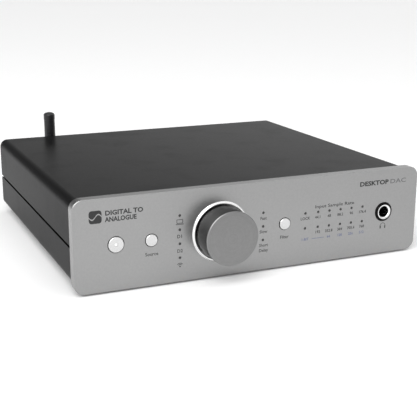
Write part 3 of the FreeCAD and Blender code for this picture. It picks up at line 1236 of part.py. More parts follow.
def make_phono_sockets():
    """The phono sockets' housings, coloured insulators, outer shells and centre contacts."""
    out = "phono_ring_y"
    half = "phono_block_half"
    seat_depth = "rear_face_y - 3"
    cases = {"output": block("output_case", (f"phono_x - {half}", f"phono_x + {half}"),
                             ("rear_inner_y - 10", "rear_inner_y"), ("board_top_z", "phono_high_z + 7"))}
    for name, x in (("input_two", "digital_two_x"), ("input_one", "digital_one_x")):
        head = block(f"{name}_head", (f"{x} - {half}", f"{x} + {half}"),
                     ("rear_inner_y - 18", "rear_inner_y"),
                     ("optical_top_z + 2", "phono_high_z + 7"))
        leg = block(f"{name}_leg", (f"{x} - {half}", f"{x} + {half}"),
                    ("rear_inner_y - 18", "rear_inner_y - 14"),
                    ("board_top_z", "phono_high_z"))
        cases[name] = join(f"{name}_case", [head, leg])
    seats = {"output": [], "input_two": [], "input_one": []}
    insulators, shells, centres = [], [], []
    for k, (owner, (x, z)) in enumerate(zip(("output", "output", "input_two", "input_one"), phono_places())):
        axis = (x, z)
        seats[owner].append(rod(f"phono_seat_{k}", "Y", axis, (seat_depth, "rear_inner_y"),
                                "phono_ring + running_clearance"))
        seats[owner].append(rod(f"phono_contact_hole_{k}", "Y", axis, ("rear_inner_y - 6", "rear_inner_y"),
                                "phono_core"))
        ring = rod(f"phono_ring_{k}", "Y", axis, (seat_depth, out), "phono_ring")
        sleeve = rod(f"phono_sleeve_{k}", "Y", axis, (out, "rear_face_y + phono_length - 1.4"),
                     "phono_shell - phono_wall - running_clearance")
        hole = rod(f"phono_hole_{k}", "Y", axis, (seat_depth, "rear_face_y + phono_length"), "phono_core")
        insulators.append(cut(f"phono_insulator_{k}", join(f"phono_insulator_{k}_solid", [ring, sleeve]),
                              [hole]))
        tube = rod(f"phono_tube_{k}", "Y", axis, (out, "rear_face_y + phono_length"), "phono_shell")
        inside = rod(f"phono_inside_{k}", "Y", axis, (out, "rear_face_y + phono_length"),
                     "phono_shell - phono_wall")
        shells.append(cut(f"phono_shell_{k}", tube, [inside]))
        core = "phono_core - running_clearance"
        grip = rod(f"phono_grip_{k}", "Y", axis, ("rear_inner_y - 5.9", "rear_face_y + phono_length - 2"),
                   core)
        grip_hole = rod(f"phono_grip_hole_{k}", "Y", axis,
                        ("rear_face_y - 2", "rear_face_y + phono_length - 2"),
                        f"{core} - phono_grip_wall")
        centres.append(cut(f"phono_centre_{k}", grip, [grip_hole]))
    blocks = [cut(f"phono_{owner}_block", cases[owner], tools) for owner, tools in seats.items()]
    keep(group("phono_blocks", blocks), "phono_blocks")
    keep(group("phono_insulators", insulators), "phono_insulators")
    keep(group("phono_shells", shells), "phono_shells")
    keep(group("phono_centres", centres), "phono_centres")


def make_optical_inputs():
    """Two optical sockets, each with a spring-loaded shutter across its mouth."""
    reach = "optical_half + optical_wall"
    housings = []
    for name, x in (("one", "digital_one_x"), ("two", "digital_two_x")):
        case = block(f"optical_{name}_case", (f"{x} - ({reach})", f"{x} + {reach}"),
                     ("rear_inner_y - 13", "socket_out_y"), ("board_top_z", f"optical_z + {reach}"))
        leading = block(f"optical_{name}_step", (f"{x} - ({reach})", f"{x} + {reach}"),
                        ("rear_inner_y", "socket_out_y"),
                        ("board_top_z", "board_top_z + optical_wall"))
        mouth = block(f"optical_{name}_mouth", (f"{x} - optical_half", f"{x} + optical_half"),
                      ("rear_face_y - optical_depth", "socket_out_y"),
                      ("optical_z - optical_half", "optical_top_z"))
        hinge = rod(f"optical_{name}_hinge", "X", ("shutter_y", "shutter_z"),
                    (f"{x} - ({reach})", f"{x} + {reach}"),
                    "shutter_trunnion + running_clearance")
        lens = rod(f"optical_{name}_lens", "Y", (x, "optical_z"),
                   ("rear_face_y - optical_depth - 1", "rear_face_y - optical_depth + 1"), "1.3")
        housings.append(join(f"optical_{name}_housing",
                             [cut(f"optical_{name}_hollow", case, [leading, mouth, hinge]), lens]))

        low = "optical_z - optical_half + slide_clearance"
        flap = block(f"shutter_{name}_flap",
                     (f"{x} - optical_half + slide_clearance", f"{x} + optical_half - slide_clearance"),
                     ("shutter_y - shutter_thickness / 2", "shutter_y + shutter_thickness / 2"),
                     (low, "shutter_z"))
        barrel = rod(f"shutter_{name}_barrel", "X", ("shutter_y", "shutter_z"),
                     (f"{x} - optical_half + slide_clearance", f"{x} + optical_half - slide_clearance"),
                     "shutter_thickness / 2 + 0.1")
        stubs = rod(f"shutter_{name}_stubs", "X", ("shutter_y", "shutter_z"),
                    (f"{x} - ({reach}) + 0.1", f"{x} + {reach} - 0.1"), "shutter_trunnion")
        keep(join(f"optical_shutter_{name}", [flap, barrel, stubs]), f"optical_shutter_{name}")
    keep(group("optical_housings", housings), "optical_housings")


def bevelled_tube_points(inset):
    """The computer socket's outline with bevelled upper corners, drawn in by an inset."""
    left, right = f"usb_x - usb_width / 2 + {inset}", f"usb_x + usb_width / 2 - ({inset})"
    low, high = f"usb_z - usb_height / 2 + {inset}", f"usb_z + usb_height / 2 - ({inset})"
    return [(left, low), (right, low), (right, f"{high} - usb_corner"), (f"{right} - usb_corner", high),
            (f"{left} + usb_corner", high), (left, f"{high} - usb_corner")]


def make_usb_socket():
    """The computer socket: a pressed shell round an insulator with a tongue in its mouth."""
    shell = new_body("usb_shell")
    outside = new_sketch(shell, "usb_outside", "XZ", "socket_out_y")
    draw_outline(outside, bevelled_tube_points("0"))
    pad(shell, outside, "usb_depth + socket_proud")
    inside = new_sketch(shell, "usb_inside", "XZ", "socket_out_y")
    draw_outline(inside, bevelled_tube_points("usb_shell_wall"))
    pocket(shell, inside, "usb_depth + socket_proud", towards_rear=False)
    keep(shell, "usb_shell")

    core = new_body("usb_insulator")
    filling = new_sketch(core, "usb_filling", "XZ", "rear_face_y")
    draw_outline(filling, bevelled_tube_points("usb_shell_wall + running_clearance"))
    pad(core, filling, "usb_depth")
    mouth = new_sketch(core, "usb_mouth", "XZ", "rear_face_y")
    half_w, half_h = "usb_mouth_width / 2", "usb_mouth_height / 2"
    draw_outline(mouth, [
        (f"usb_x - {half_w}", f"usb_z - {half_h}"), (f"usb_x + {half_w}", f"usb_z - {half_h}"),
        (f"usb_x + {half_w}", f"usb_z + {half_h} - usb_corner"),
                         (f"usb_x + {half_w} - usb_corner", f"usb_z + {half_h}"),
        (f"usb_x - {half_w} + usb_corner", f"usb_z + {half_h}"),
                         (f"usb_x - {half_w}", f"usb_z + {half_h} - usb_corner"),
    ])
    pocket(core, mouth, "usb_depth - 4", towards_rear=False)
    tongue = new_sketch(core, "usb_tongue", "XZ", "rear_face_y - usb_depth + 3")
    draw_rectangle(tongue, ("usb_x - 2.8", "usb_x + 2.8"), ("usb_z - 1.6", "usb_z + 1.6"))
    pad(core, tongue, "usb_depth - 4.2", towards_rear=True)
    keep(core, "usb_insulator")


def make_power_inlet():
    """The round power inlet and its centre pin."""
    axis = ("inlet_x", "inlet_z")
    case = block("inlet_case", ("inlet_x - 4.5", "inlet_x + 4.5"),
                 ("rear_face_y - inlet_depth", "rear_inner_y"),
                 ("board_top_z", "inlet_z + 5"))
    nose = rod("inlet_nose", "Y", axis, ("rear_inner_y", "socket_out_y"), "inlet_nose")
    bore = rod("inlet_bore", "Y", axis, ("rear_face_y - inlet_depth + 2.5", "socket_out_y"), "inlet_bore")
    well = rod("inlet_well", "Y", axis, ("rear_face_y - inlet_depth + 1", "rear_face_y - inlet_depth + 3"),
               "inlet_pin + running_clearance")
    keep(cut("power_inlet_body", join("inlet_solid", [case, nose]), [bore, well]), "power_inlet_body")
    pin = rod("inlet_pin_bar", "Y", axis, ("rear_face_y - inlet_depth + 1.1", "rear_face_y - 1"), "inlet_pin")
    tip = rod("inlet_pin_tip", "Y", axis, ("rear_face_y - 1", "rear_face_y - 0.4"), "inlet_pin",
              "inlet_pin / 2")
    keep(join("power_inlet_pin", [pin, tip]), "power_inlet_pin")


def make_antenna():
    """The antenna's socket and lock nut on the rear panel, the knurled nut that holds the antenna, the
    swivelling knuckle with its hinge pin, and the folding mast."""
    axis = ("antenna_x", "antenna_z")
    foot = hexagon("socket_foot", "Y", axis, ("rear_inner_y - 6.5", "rear_inner_y"), "4.6")
    tail = rod("socket_tail", "Y", axis, ("rear_inner_y - 7", "rear_inner_y - 6.5"), "2")
    neck = rod("socket_neck", "Y", axis, ("rear_inner_y", "swivel_nut_end_y - 1"), "thread_radius")
    bore = rod("socket_bore", "Y", axis, ("swivel_nut_end_y - 4", "swivel_nut_end_y - 1"), "1.3")
    keep(cut("antenna_socket", join("socket_solid", [foot, tail, neck]), [bore]), "antenna_socket")

    hole = "thread_radius + thread_clearance"
    lock = hexagon("lock_nut_hex", "Y", axis, ("rear_face_y", "rear_face_y + lock_nut_height"), "4.6")
    lock_hole = rod("lock_nut_hole", "Y", axis, ("rear_face_y", "rear_face_y + lock_nut_height"), hole)
    keep(cut("antenna_lock_nut", lock, [lock_hole]), "antenna_lock_nut")

    sleeve = rod("swivel_nut_bar", "Y", axis, ("swivel_nut_y", "swivel_nut_end_y"), "swivel_nut_radius")
    nut_bore = rod("swivel_nut_bore", "Y", axis, ("swivel_nut_y", "swivel_nut_end_y - 0.9"), hole)
    keep(cut("antenna_nut", sleeve, [nut_bore]), "antenna_nut")

    eye_gap = "eye_half + cheek_clearance"
    pin_hole = "hinge_pin_radius + running_clearance"
    base = rod("knuckle_base", "Y", axis, ("knuckle_start_y", "pivot_y - knuckle_radius"),
               "swivel_nut_radius - 0.3")
    cheeks = []
    for side, (low, high) in (("left", ("-knuckle_half", f"-({eye_gap})")),
                              ("right", (eye_gap, "knuckle_half"))):
        xs = (f"antenna_x + {low}", f"antenna_x + {high}")
        cheeks.append(block(f"cheek_{side}", xs, ("pivot_y - knuckle_radius - 0.5", "pivot_y"),
                            ("antenna_z - knuckle_radius + 0.6", "antenna_z + knuckle_radius - 0.6")))
        cheeks.append(rod(f"cheek_end_{side}", "X", ("pivot_y", "antenna_z"), xs, "knuckle_radius"))
    pin_run = rod("knuckle_pin_hole", "X", ("pivot_y", "antenna_z"),
                  ("antenna_x - knuckle_half", "antenna_x + knuckle_half"), pin_hole)
    keep(cut("antenna_knuckle", join("knuckle_solid", [base, *cheeks]), [pin_run]), "antenna_knuckle")
    keep(rod("hinge_pin", "X", ("pivot_y", "antenna_z"),
             ("antenna_x - knuckle_half + 0.1", "antenna_x + knuckle_half - 0.1"), "hinge_pin_radius"),
         "antenna_hinge_pin")

    eye_xs = ("antenna_x - eye_half", "antenna_x + eye_half")
    eye_radius = "knuckle_radius - 0.3"
    mast_foot = "antenna_z + knuckle_radius + 1"
    eye = rod("mast_eye", "X", ("pivot_y", "antenna_z"), eye_xs, eye_radius)
    stalk = block("mast_stalk", eye_xs, ("pivot_y - 3", "pivot_y + 3"), ("antenna_z", f"{mast_foot} + 1"))
    post = ("antenna_x", "pivot_y")
    cap_low = "antenna_top - 5.2"
    lower = rod("mast_lower", "Z", post, (mast_foot, f"{cap_low} - 0.5"), "antenna_radius",
                "antenna_radius - 0.15")
    neck_ring = rod("mast_neck", "Z", post, (f"{cap_low} - 0.5", cap_low), "antenna_radius - 0.4")
    upper = rod("mast_cap", "Z", post, (cap_low, "antenna_top - antenna_radius / 2"), "antenna_radius")
    tip = DOC.addObject("Part::Ellipsoid", "mast_tip")
    bind(tip, "Radius1", "antenna_radius / 2")
    bind(tip, "Radius2", "antenna_radius")
    bind(tip, "Radius3", "antenna_radius")
    place(tip, "antenna_x", "pivot_y", "antenna_top - antenna_radius / 2")
    hole = rod("mast_pin_hole", "X", ("pivot_y", "antenna_z"), eye_xs, pin_hole)
    solid = join("mast_solid", [eye, stalk, lower, neck_ring, upper, tip])
    keep(cut("antenna_mast", solid, [hole]), "antenna_mast")


# ---------------------------------------------------------------- building

def check_and_write():
    """Recomputes, makes sure that nothing failed, and writes one file for each sub-part."""
    DOC.recompute()
    failed = [o.Name for o in DOC.Objects if {"Invalid", "Error"} & set(o.State)]
    for node in NODES:
        if node.Shape.isNull() or not node.Shape.isValid() or not node.Shape.Solids:
            failed.append(node.Label)
    if failed:
        raise RuntimeError(f"these failed: {failed}")
    os.makedirs("parts", exist_ok=True)
    for node in NODES:
        node.Shape.exportStep(f"parts/{node.Label}.step")
    print(f"wrote {len(NODES)} sub-parts, {sum(len(node.Shape.Solids) for node in NODES)} solids")


def main():
    write_sizes()
    make_front_panel()
    make_bracket()
    make_bottom_cover()
    make_top_cover()
    make_feet()
    make_trim_ring()
    make_knob()
    make_encoder()
    make_buttons()
    make_indicators()
    make_headphone_socket()
    make_main_board(make_front_board())
    make_ribbon()
    make_board_parts()
    make_radio()
    make_rear_panel()
    make_balanced_outputs()
    make_phono_sockets()
    make_optical_inputs()
    make_usb_socket()
    make_power_inlet()
    make_antenna()
    check_and_write()


main()
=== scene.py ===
"""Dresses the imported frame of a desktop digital-to-analogue converter and sets it in a pale studio.

The frame's own pieces keep their shapes and get finishes. Pieces that need more shape than the
frame gives them, such as the knob, the trim ring, the buttons, the antenna and the printing, are
built here and ride on the frame's bodies. Lengths are metres in the frame's own axes: +X to the
right and -Y towards the user, as seen from the front, and +Z up.
"""
import json
import logging
import math
from dataclasses import dataclass, field
from enum import Enum
from typing import Callable, Iterable, Sequence

import bmesh
import bpy
import numpy as np
from mathutils import Matrix, Vector


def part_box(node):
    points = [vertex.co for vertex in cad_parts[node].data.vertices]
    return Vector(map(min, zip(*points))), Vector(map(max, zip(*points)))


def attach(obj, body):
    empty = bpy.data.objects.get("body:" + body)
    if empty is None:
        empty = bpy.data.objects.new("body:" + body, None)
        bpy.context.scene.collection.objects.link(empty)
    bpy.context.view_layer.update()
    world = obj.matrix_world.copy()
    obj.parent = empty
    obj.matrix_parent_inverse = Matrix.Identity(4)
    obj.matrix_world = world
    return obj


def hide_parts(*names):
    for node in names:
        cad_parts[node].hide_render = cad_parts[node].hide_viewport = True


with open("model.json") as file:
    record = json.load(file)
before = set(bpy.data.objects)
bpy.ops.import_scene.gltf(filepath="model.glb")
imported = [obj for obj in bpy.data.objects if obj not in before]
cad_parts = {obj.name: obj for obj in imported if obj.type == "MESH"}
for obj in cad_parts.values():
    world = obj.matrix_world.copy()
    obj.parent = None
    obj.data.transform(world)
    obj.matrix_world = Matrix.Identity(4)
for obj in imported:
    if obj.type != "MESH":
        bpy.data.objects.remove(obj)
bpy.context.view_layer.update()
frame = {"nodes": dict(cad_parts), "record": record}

LOG = logging.getLogger("dac")
MM = 0.001
PASSIVE_SIZE = (1.6 * MM, 0.8 * MM, 0.5 * MM)
PASSIVE_DENSITY = 90000.0
CAPITAL_SHARE = 0.73
Colour = tuple[float, float, float]
Point2 = tuple[float, float]
Point3 = tuple[float, float, float]
Socket, Node, Tree = bpy.types.NodeSocket, bpy.types.Node, bpy.types.NodeTree
Mesh = bpy.types.Mesh


# ---- named options


class Axis(Enum):
    """The frame axis that a turned piece stands along."""

    X = 0
    Y = 1
    Z = 2


class Side(Enum):
    """The panel that a print lies on."""

    FRONT = "front"
    REAR = "rear"


class Align(Enum):
    """Where a label's anchor lies on it."""

    LEFT = "LEFT"
    CENTRE = "CENTER"


# ---- node trees


class Sheet:
    """A node tree with short calls for adding nodes and joining their sockets."""

    def __init__(self, tree: Tree) -> None:
        """Wraps a tree.

        Args:
            tree: the tree to add nodes to.
        """
        self.tree = tree

    def add(self, kind: str, inputs: dict | None = None, **settings: object) -> Node:
        """Adds a node.

        Args:
            kind: the node's type name.
            inputs: socket name or number to a value or to the socket that feeds it.
            settings: the node's own properties.

        Returns:
            The node.
        """
        node = self.tree.nodes.new(kind)
        for key, value in settings.items():
            setattr(node, key, value)
        for key, value in (inputs or {}).items():
            if isinstance(value, Socket):
                self.tree.links.new(value, node.inputs[key])
            else:
                node.inputs[key].default_value = value
        return node

    def math(self, operation: str, a: object, b: object = 0.0, c: object = 0.0,
             clamp: bool = False) -> Socket:
        """Adds a math node and returns its value.

        Args:
            operation: the node's operation.
            a: the first value or socket.
            b: the second.
            c: the third.
            clamp: whether the value is kept from 0 to 1.

        Returns:
            The node's value.
        """
        node = self.add("ShaderNodeMath", {0: a, 1: b, 2: c}, operation=operation, use_clamp=clamp)
        return node.outputs[0]

    def blend(self, factor: object, a: object, b: object) -> Socket:
        """Mixes two colours and returns the result.

        Args:
            factor: the second colour's share.
            a: the first colour.
            b: the second colour.

        Returns:
            The mixed colour.
        """
        node = self.add("ShaderNodeMix", {0: factor, 6: a, 7: b}, data_type="RGBA")
        return node.outputs[2]

    def spread(self, value: object, low: float, high: float, to_low: float,
               to_high: float) -> Socket:
        """Maps a range of values to another and clamps it.

        Args:
            value: the value to map.
            low: the start of its range.
            high: the end of its range.
            to_low: what the start becomes.
            to_high: what the end becomes.

        Returns:
            The mapped value.
        """
        node = self.add("ShaderNodeMapRange", {"Value": value, "From Min": low, "From Max": high,
                                               "To Min": to_low, "To Max": to_high})
        return node.outputs["Result"]

    def noise(self, vector: object, scale: object, detail: float = 2.0, **settings: object
              ) -> Socket:
        """Adds a noise texture and returns its value.

        Args:
            vector: the place.
            scale: the pattern's scale.
            detail: its number of octaves.
            settings: the node's own properties.

        Returns:
            The noise's value.
        """
        node = self.add("ShaderNodeTexNoise", {"Vector": vector, "Scale": scale, "Detail": detail},
                        **settings)
        return node.outputs["Fac"]

    def group(self, tree: Tree, inputs: dict) -> Node:
        """Adds a node that runs a group.

        Args:
            tree: the group's tree.
            inputs: input name to a value or a socket.

        Returns:
            The node.
        """
        return self.add("ShaderNodeGroup", inputs, node_tree=tree)


def rgba(colour: Colour) -> tuple[float, float, float, float]:
    """The colour with a full alpha."""
    return (*colour, 1.0)


SOCKETS = {float: "NodeSocketFloat", int: "NodeSocketInt", Vector: "NodeSocketVector",
           bpy.types.Material: "NodeSocketMaterial"}


@dataclass(frozen=True)
class SharedGroup:
    """A shader group that several finishes use."""

    name: str
    inputs: dict[str, type]
    outputs: tuple[str, ...]
    fill: Callable[[Sheet, Node], Sequence[Socket]]

    def tree(self) -> Tree:
        """Finds the group's tree, or builds it on its first use.

        Returns:
            The tree.
        """
        found = bpy.data.node_groups.get(self.name)
        if found:
            return found
        tree = bpy.data.node_groups.new(self.name, "ShaderNodeTree")
        for label, kind in self.inputs.items():
            tree.interface.new_socket(label, in_out="INPUT", socket_type=SOCKETS[kind])
        for label in self.outputs:
            tree.interface.new_socket(label, in_out="OUTPUT", socket_type=SOCKETS[float])
        sheet = Sheet(tree)
        start, end = tree.nodes.new("NodeGroupInput"), tree.nodes.new("NodeGroupOutput")
        for label, socket in zip(self.outputs, self.fill(sheet, start)):
            tree.links.new(socket, end.inputs[label])
        return tree


def fill_grain(sheet: Sheet, start: Node) -> Sequence[Socket]:
    """Fine grain and slow drift.

    Args:
        sheet: the group's tree.
        start: its input node.

    Returns:
        A height, a fine tone and a wide patch, each from 0 to 1.
    """
    place, size = start.outputs[:2]
    scale = sheet.math("DIVIDE", 1.0, size)
    fine = sheet.noise(place, scale, 3.0)
    tone = sheet.noise(place, sheet.math("MULTIPLY", scale, 0.12), 3.0)
    patch = sheet.noise(place, 18.0, 2.0)
    return fine, tone, patch


def fill_edges(sheet: Sheet, start: Node) -> Sequence[Socket]:
    """Finds sharp edges.

    Args:
        sheet: the group's tree.
        start: its input node.

    Returns:
        A mask that is 1 along the edges and falls to 0 within a radius of them.
    """
    soft = sheet.add("ShaderNodeBevel", {"Radius": start.outputs["Radius"]}, samples=4)
    true = sheet.add("ShaderNodeNewGeometry")
    dot = sheet.add("ShaderNodeVectorMath", {0: soft.outputs[0], 1: true.outputs["Normal"]},
                    operation="DOT_PRODUCT")
    return (sheet.spread(dot.outputs["Value"], 0.999, 0.86, 0.0, 1.0),)


def fill_marks(sheet: Sheet, start: Node) -> Sequence[Socket]:
    """Handling marks: soft smudges and a few hairlines.

    Args:
        sheet: the group's tree.
        start: its input node.

    Returns:
        One mask from 0 to 1.
    """
    place, scale = start.outputs[:2]
    smudge = sheet.spread(sheet.noise(place, scale, 4.0), 0.52, 0.75, 0.0, 0.7)
    turned = sheet.add("ShaderNodeMapping", {"Vector": place, "Rotation": (0.35, 0.5, 0.65),
                                             "Scale": (3.0, 120.0, 120.0)})
    lines = sheet.spread(sheet.noise(turned.outputs[0], 9.0, 1.0), 0.74, 0.8, 0.0, 1.0)
    return (sheet.math("ADD", smudge, lines, clamp=True),)


def fill_turning(sheet: Sheet, start: Node) -> Sequence[Socket]:
    """Fine tool lines round an axis along Y.

    Args:
        sheet: the group's tree.
        start: its input node.

    Returns:
        A height and a tone, each from 0 to 1.
    """
    place, pitch = start.outputs[:2]
    parts = sheet.add("ShaderNodeSeparateXYZ", {0: place})
    squares = [sheet.math("MULTIPLY", parts.outputs[k], parts.outputs[k]) for k in (0, 2)]
    radius = sheet.math("SQRT", sheet.math("ADD", *squares))
    line = sheet.math("DIVIDE", sheet.math("ADD", radius, parts.outputs[1]), pitch)
    return [sheet.add("ShaderNodeTexNoise", {"W": line, "Scale": scale, "Detail": detail},
                      noise_dimensions="1D").outputs["Fac"]
            for scale, detail in ((1.0, 2.0), (0.11, 1.0))]


GRAIN = SharedGroup("fine_grain", {"Vector": Vector, "Size": float}, ("Height", "Tone", "Patch"),
                    fill_grain)
EDGES = SharedGroup("edge_mask", {"Radius": float}, ("Mask",), fill_edges)
MARKS = SharedGroup("handling_marks", {"Vector": Vector, "Scale": float}, ("Mask",), fill_marks)
TURNING = SharedGroup("turning_lines", {"Vector": Vector, "Pitch": float}, ("Height", "Tone"),
                      fill_turning)


# ---- finishes


@dataclass
class Look:
    """The sockets that a finish feeds to its shader."""

    colour: Socket
    roughness: Socket
    height: Socket
    metallic: Socket | None = None


@dataclass(frozen=True)
class Finish:
    """A plain finish: grain in its height, drift and wear in its colour and gloss, and a painted
    highlight or painted shade along its sharp edges.
    """

    name: str
    colour: Colour
    roughness: float
    metallic: float = 0.0
    specular: float = 0.5
    edge_tint: float = 1.0
    coat: float = 0.0
    grain_size: float = 0.3 * MM
    grain_depth: float = 0.004 * MM
    tone: float = 0.06
    gloss: float = 0.05
    wear: float = 0.04
    # The two edge values below paint light along sharp edges: a painted highlight where the gain is
    # above 0, painted shade where it is below.
    edge_radius: float = 0.0
    painted_edge_light: float = 0.5

    def material(self) -> bpy.types.Material:
        """Returns the finish's material, built on its first use."""
        return bpy.data.materials.get(self.name) or self.build()

    def vary(self, sheet: Sheet, colour: object, amount: object, share: float
             ) -> Socket:
        """Lightens and darkens a colour.

        Args:
            sheet: the material's tree.
            colour: the colour or its socket.
            amount: a value from 0 to 1, where 0.5 leaves the colour as it is.
            share: the largest change, as a share of the colour.

        Returns:
            The varied colour.
        """
        gain = sheet.spread(amount, 0.25, 0.75, 1.0 - share, 1.0 + share)
        node = sheet.add("ShaderNodeVectorMath", {0: colour, "Scale": gain}, operation="SCALE")
        return node.outputs[0]

    def look(self, sheet: Sheet, place: Socket) -> Look:
        """Makes the finish's pattern.

        Args:
            sheet: the material's tree.
            place: the place on the piece.

        Returns:
            The sockets for the shader.
        """
        grain = sheet.group(GRAIN.tree(), {"Vector": place, "Size": self.grain_size})
        marks = sheet.group(MARKS.tree(), {"Vector": place, "Scale": 42.0}).outputs["Mask"]
        base = sheet.add("ShaderNodeRGB")
        base.outputs[0].default_value = rgba(self.colour)
        colour = self.vary(sheet, base.outputs[0], grain.outputs["Tone"], self.tone)
        colour = self.vary(sheet, colour, grain.outputs["Patch"], self.tone * 0.5)
        # Painted light along sharp edges: lighter where the edge gain is above 0 (painted highlight),
        # darker where it is below (painted shade).
        if self.edge_radius:
            edge = sheet.group(EDGES.tree(), {"Radius": self.edge_radius}).outputs["Mask"]
            bright = self.vary(sheet, colour, 0.75, self.painted_edge_light)
            colour = sheet.blend(edge, colour, bright)
        rough = sheet.math("MULTIPLY_ADD", grain.outputs["Tone"], self.gloss * 2.0,
                           self.roughness - self.gloss)
        rough = sheet.math("MULTIPLY_ADD", marks, self.wear, rough, clamp=True)
        return Look(colour, rough, grain.outputs["Height"])

    def build(self) -> bpy.types.Material:
        """Builds the material and returns it.

        Returns:
            The material.
        """
        material = bpy.data.materials.new(self.name)
        material.use_nodes = True
        sheet = Sheet(material.node_tree)
        sheet.tree.nodes.clear()
        place = sheet.add("ShaderNodeTexCoord").outputs["Object"]
        look = self.look(sheet, place)
        bump = sheet.add("ShaderNodeBump", {"Height": look.height, "Distance": self.grain_depth,
                                            "Strength": 1.0})
        shader = sheet.add("ShaderNodeBsdfPrincipled", {
            "Base Color": look.colour, "Roughness": look.roughness, "Normal": bump.outputs[0],
            "Metallic": self.metallic if look.metallic is None else look.metallic,
            "Specular IOR Level": self.specular, "Coat Weight": self.coat, "Coat Roughness": 0.12,
            "Specular Tint": rgba((self.edge_tint,) * 3),
        })
        sheet.add("ShaderNodeOutputMaterial", {"Surface": shader.outputs[0]})
        material.diffuse_color = rgba(self.colour)
        return material


@dataclass(frozen=True)
class TurnedMetal(Finish):
    """Metal off a lathe, with tool lines round an axis along Y, and painted shade that darkens its
    side behind the face.
    """

    centre: Point3 = (0.0, 0.0, 0.0)
    pitch: float = 0.09 * MM
    line_share: float = 0.7
    face_y: float = -1.0
    painted_side_shade: float = 1.0

    def look(self, sheet: Sheet, place: Socket) -> Look:
        """Adds the tool lines to the plain finish, and darkens the side behind the face as painted
        shade.

        Args:
            sheet: the material's tree.
            place: the place on the piece.

        Returns:
            The sockets for the shader.
        """
        plain = super().look(sheet, place)
        shifted = sheet.add("ShaderNodeMapping", {
            "Vector": place, "Location": tuple(-value for value in self.centre)}).outputs[0]
        lines = sheet.group(TURNING.tree(), {"Vector": shifted, "Pitch": self.pitch})
        colour = self.vary(sheet, plain.colour, lines.outputs["Tone"], self.tone)
        # Painted shade: behind face_y the colour is scaled down to the side gain, as if the side were
        # in shade.
        behind = sheet.add("ShaderNodeSeparateXYZ", {0: place}).outputs[1]
        gain = sheet.spread(behind, self.face_y, self.face_y + 0.3 * MM, 1.0, self.painted_side_shade)
        colour = sheet.add("ShaderNodeVectorMath", {0: colour, "Scale": gain},
                           operation="SCALE").outputs[0]
        height = sheet.math("MULTIPLY_ADD", lines.outputs["Height"], self.line_share,
                            sheet.math("MULTIPLY", plain.height, 1.0 - self.line_share))
        rough = sheet.math("MULTIPLY_ADD", lines.outputs["Tone"], self.gloss, plain.roughness)
        return Look(colour, rough, height)


@dataclass(frozen=True)
class BrushedMetal(Finish):
    """Metal with straight brush lines along one axis."""

    along: Axis = Axis.X
    stretch: float = 60.0

    def look(self, sheet: Sheet, place: Socket) -> Look:
        """Adds the brush lines to the plain finish.

        Args:
            sheet: the material's tree.
            place: the place on the piece.

        Returns:
            The sockets for the shader.
        """
        plain = super().look(sheet, place)
        scale = [self.stretch] * 3
        scale[self.along.value] = 1.0
        drawn = sheet.add("ShaderNodeMapping", {"Vector": place, "Scale": tuple(scale)}).outputs[0]
        lines = sheet.noise(drawn, 0.03 / self.grain_size / self.stretch * 2.0, 3.0)
        colour = self.vary(sheet, plain.colour, lines, self.tone)
        height = sheet.math("MULTIPLY_ADD", lines, 0.7, sheet.math("MULTIPLY", plain.height, 0.3))
        return Look(colour, plain.roughness, height)


@dataclass(frozen=True)
class BandedSocket(Finish):
    """A bright ring inside a dark one, both round an axis along Y. The dark band is partly a dark
    collar and partly painted shade over the bright crest's outer edge.
    """

    centre: Point3 = (0.0, 0.0, 0.0)
    rim: float = 4.35 * MM
    collar_and_shade_colour: Colour = (0.01, 0.01, 0.01)

    def look(self, sheet: Sheet, place: Socket) -> Look:
        """Colours the outer ring dark: a dark collar, reaching in over the crest's outer edge as
        painted shade.

        Args:
            sheet: the material's tree.
            place: the place on the piece.

        Returns:
            The sockets for the shader.
        """
        plain = super().look(sheet, place)
        shifted = sheet.add("ShaderNodeMapping", {
            "Vector": place, "Location": tuple(-value for value in self.centre),
            "Scale": (1.0, 0.0, 1.0)}).outputs[0]
        radius = sheet.add("ShaderNodeVectorMath", {0: shifted}, operation="LENGTH").outputs["Value"]
        # Past the rim the colour is dark: the collar's own colour, and painted shade on the crest
        # between the rim and the crest's true edge.
        outer = sheet.spread(radius, self.rim, self.rim + 0.06 * MM, 0.0, 1.0)
        colour = sheet.blend(outer, plain.colour, rgba(self.collar_and_shade_colour))
        rough = sheet.math("MULTIPLY_ADD", outer, 0.15, plain.roughness)
        return Look(colour, rough, plain.height)


@dataclass(frozen=True)
class SpottedPlastic(Finish):
    """Moulded plastic with a spark-eroded skin of small pits."""

    pit_size: float = 0.35 * MM

    def look(self, sheet: Sheet, place: Socket) -> Look:
        """Adds the pits to the plain finish.

        Args:
            sheet: the material's tree.
            place: the place on the piece.

        Returns:
            The sockets for the shader.
        """
        plain = super().look(sheet, place)
        pits = sheet.add("ShaderNodeTexVoronoi", {"Vector": place, "Scale": 1.0 / self.pit_size},
                         feature="SMOOTH_F1").outputs["Distance"]
        height = sheet.math("MULTIPLY_ADD", pits, 0.8, plain.height)
        colour = self.vary(sheet, plain.colour, pits, self.tone)
        return Look(colour, plain.roughness, height)


@dataclass(frozen=True)
class KeyedPlastic(Finish):
    """Socket rings coloured by their place: white and red outputs, and darker digital inputs."""

    split_x: float = 0.0
    split_z: float = 0.0
    white: Colour = (0.72, 0.71, 0.68)
    red: Colour = (0.42, 0.015, 0.012)

    def look(self, sheet: Sheet, place: Socket) -> Look:
        """Chooses each ring's colour.

        Args:
            sheet: the material's tree.
            place: the place on the piece.

        Returns:
            The sockets for the shader.
        """
        plain = super().look(sheet, place)
        parts = sheet.add("ShaderNodeSeparateXYZ", {0: place})
        output = sheet.math("GREATER_THAN", parts.outputs[0], self.split_x)
        upper = sheet.math("GREATER_THAN", parts.outputs[2], self.split_z)
        pair = sheet.blend(upper, rgba(self.red), rgba(self.white))
        return Look(sheet.blend(output, plain.colour, pair), plain.roughness, plain.height)


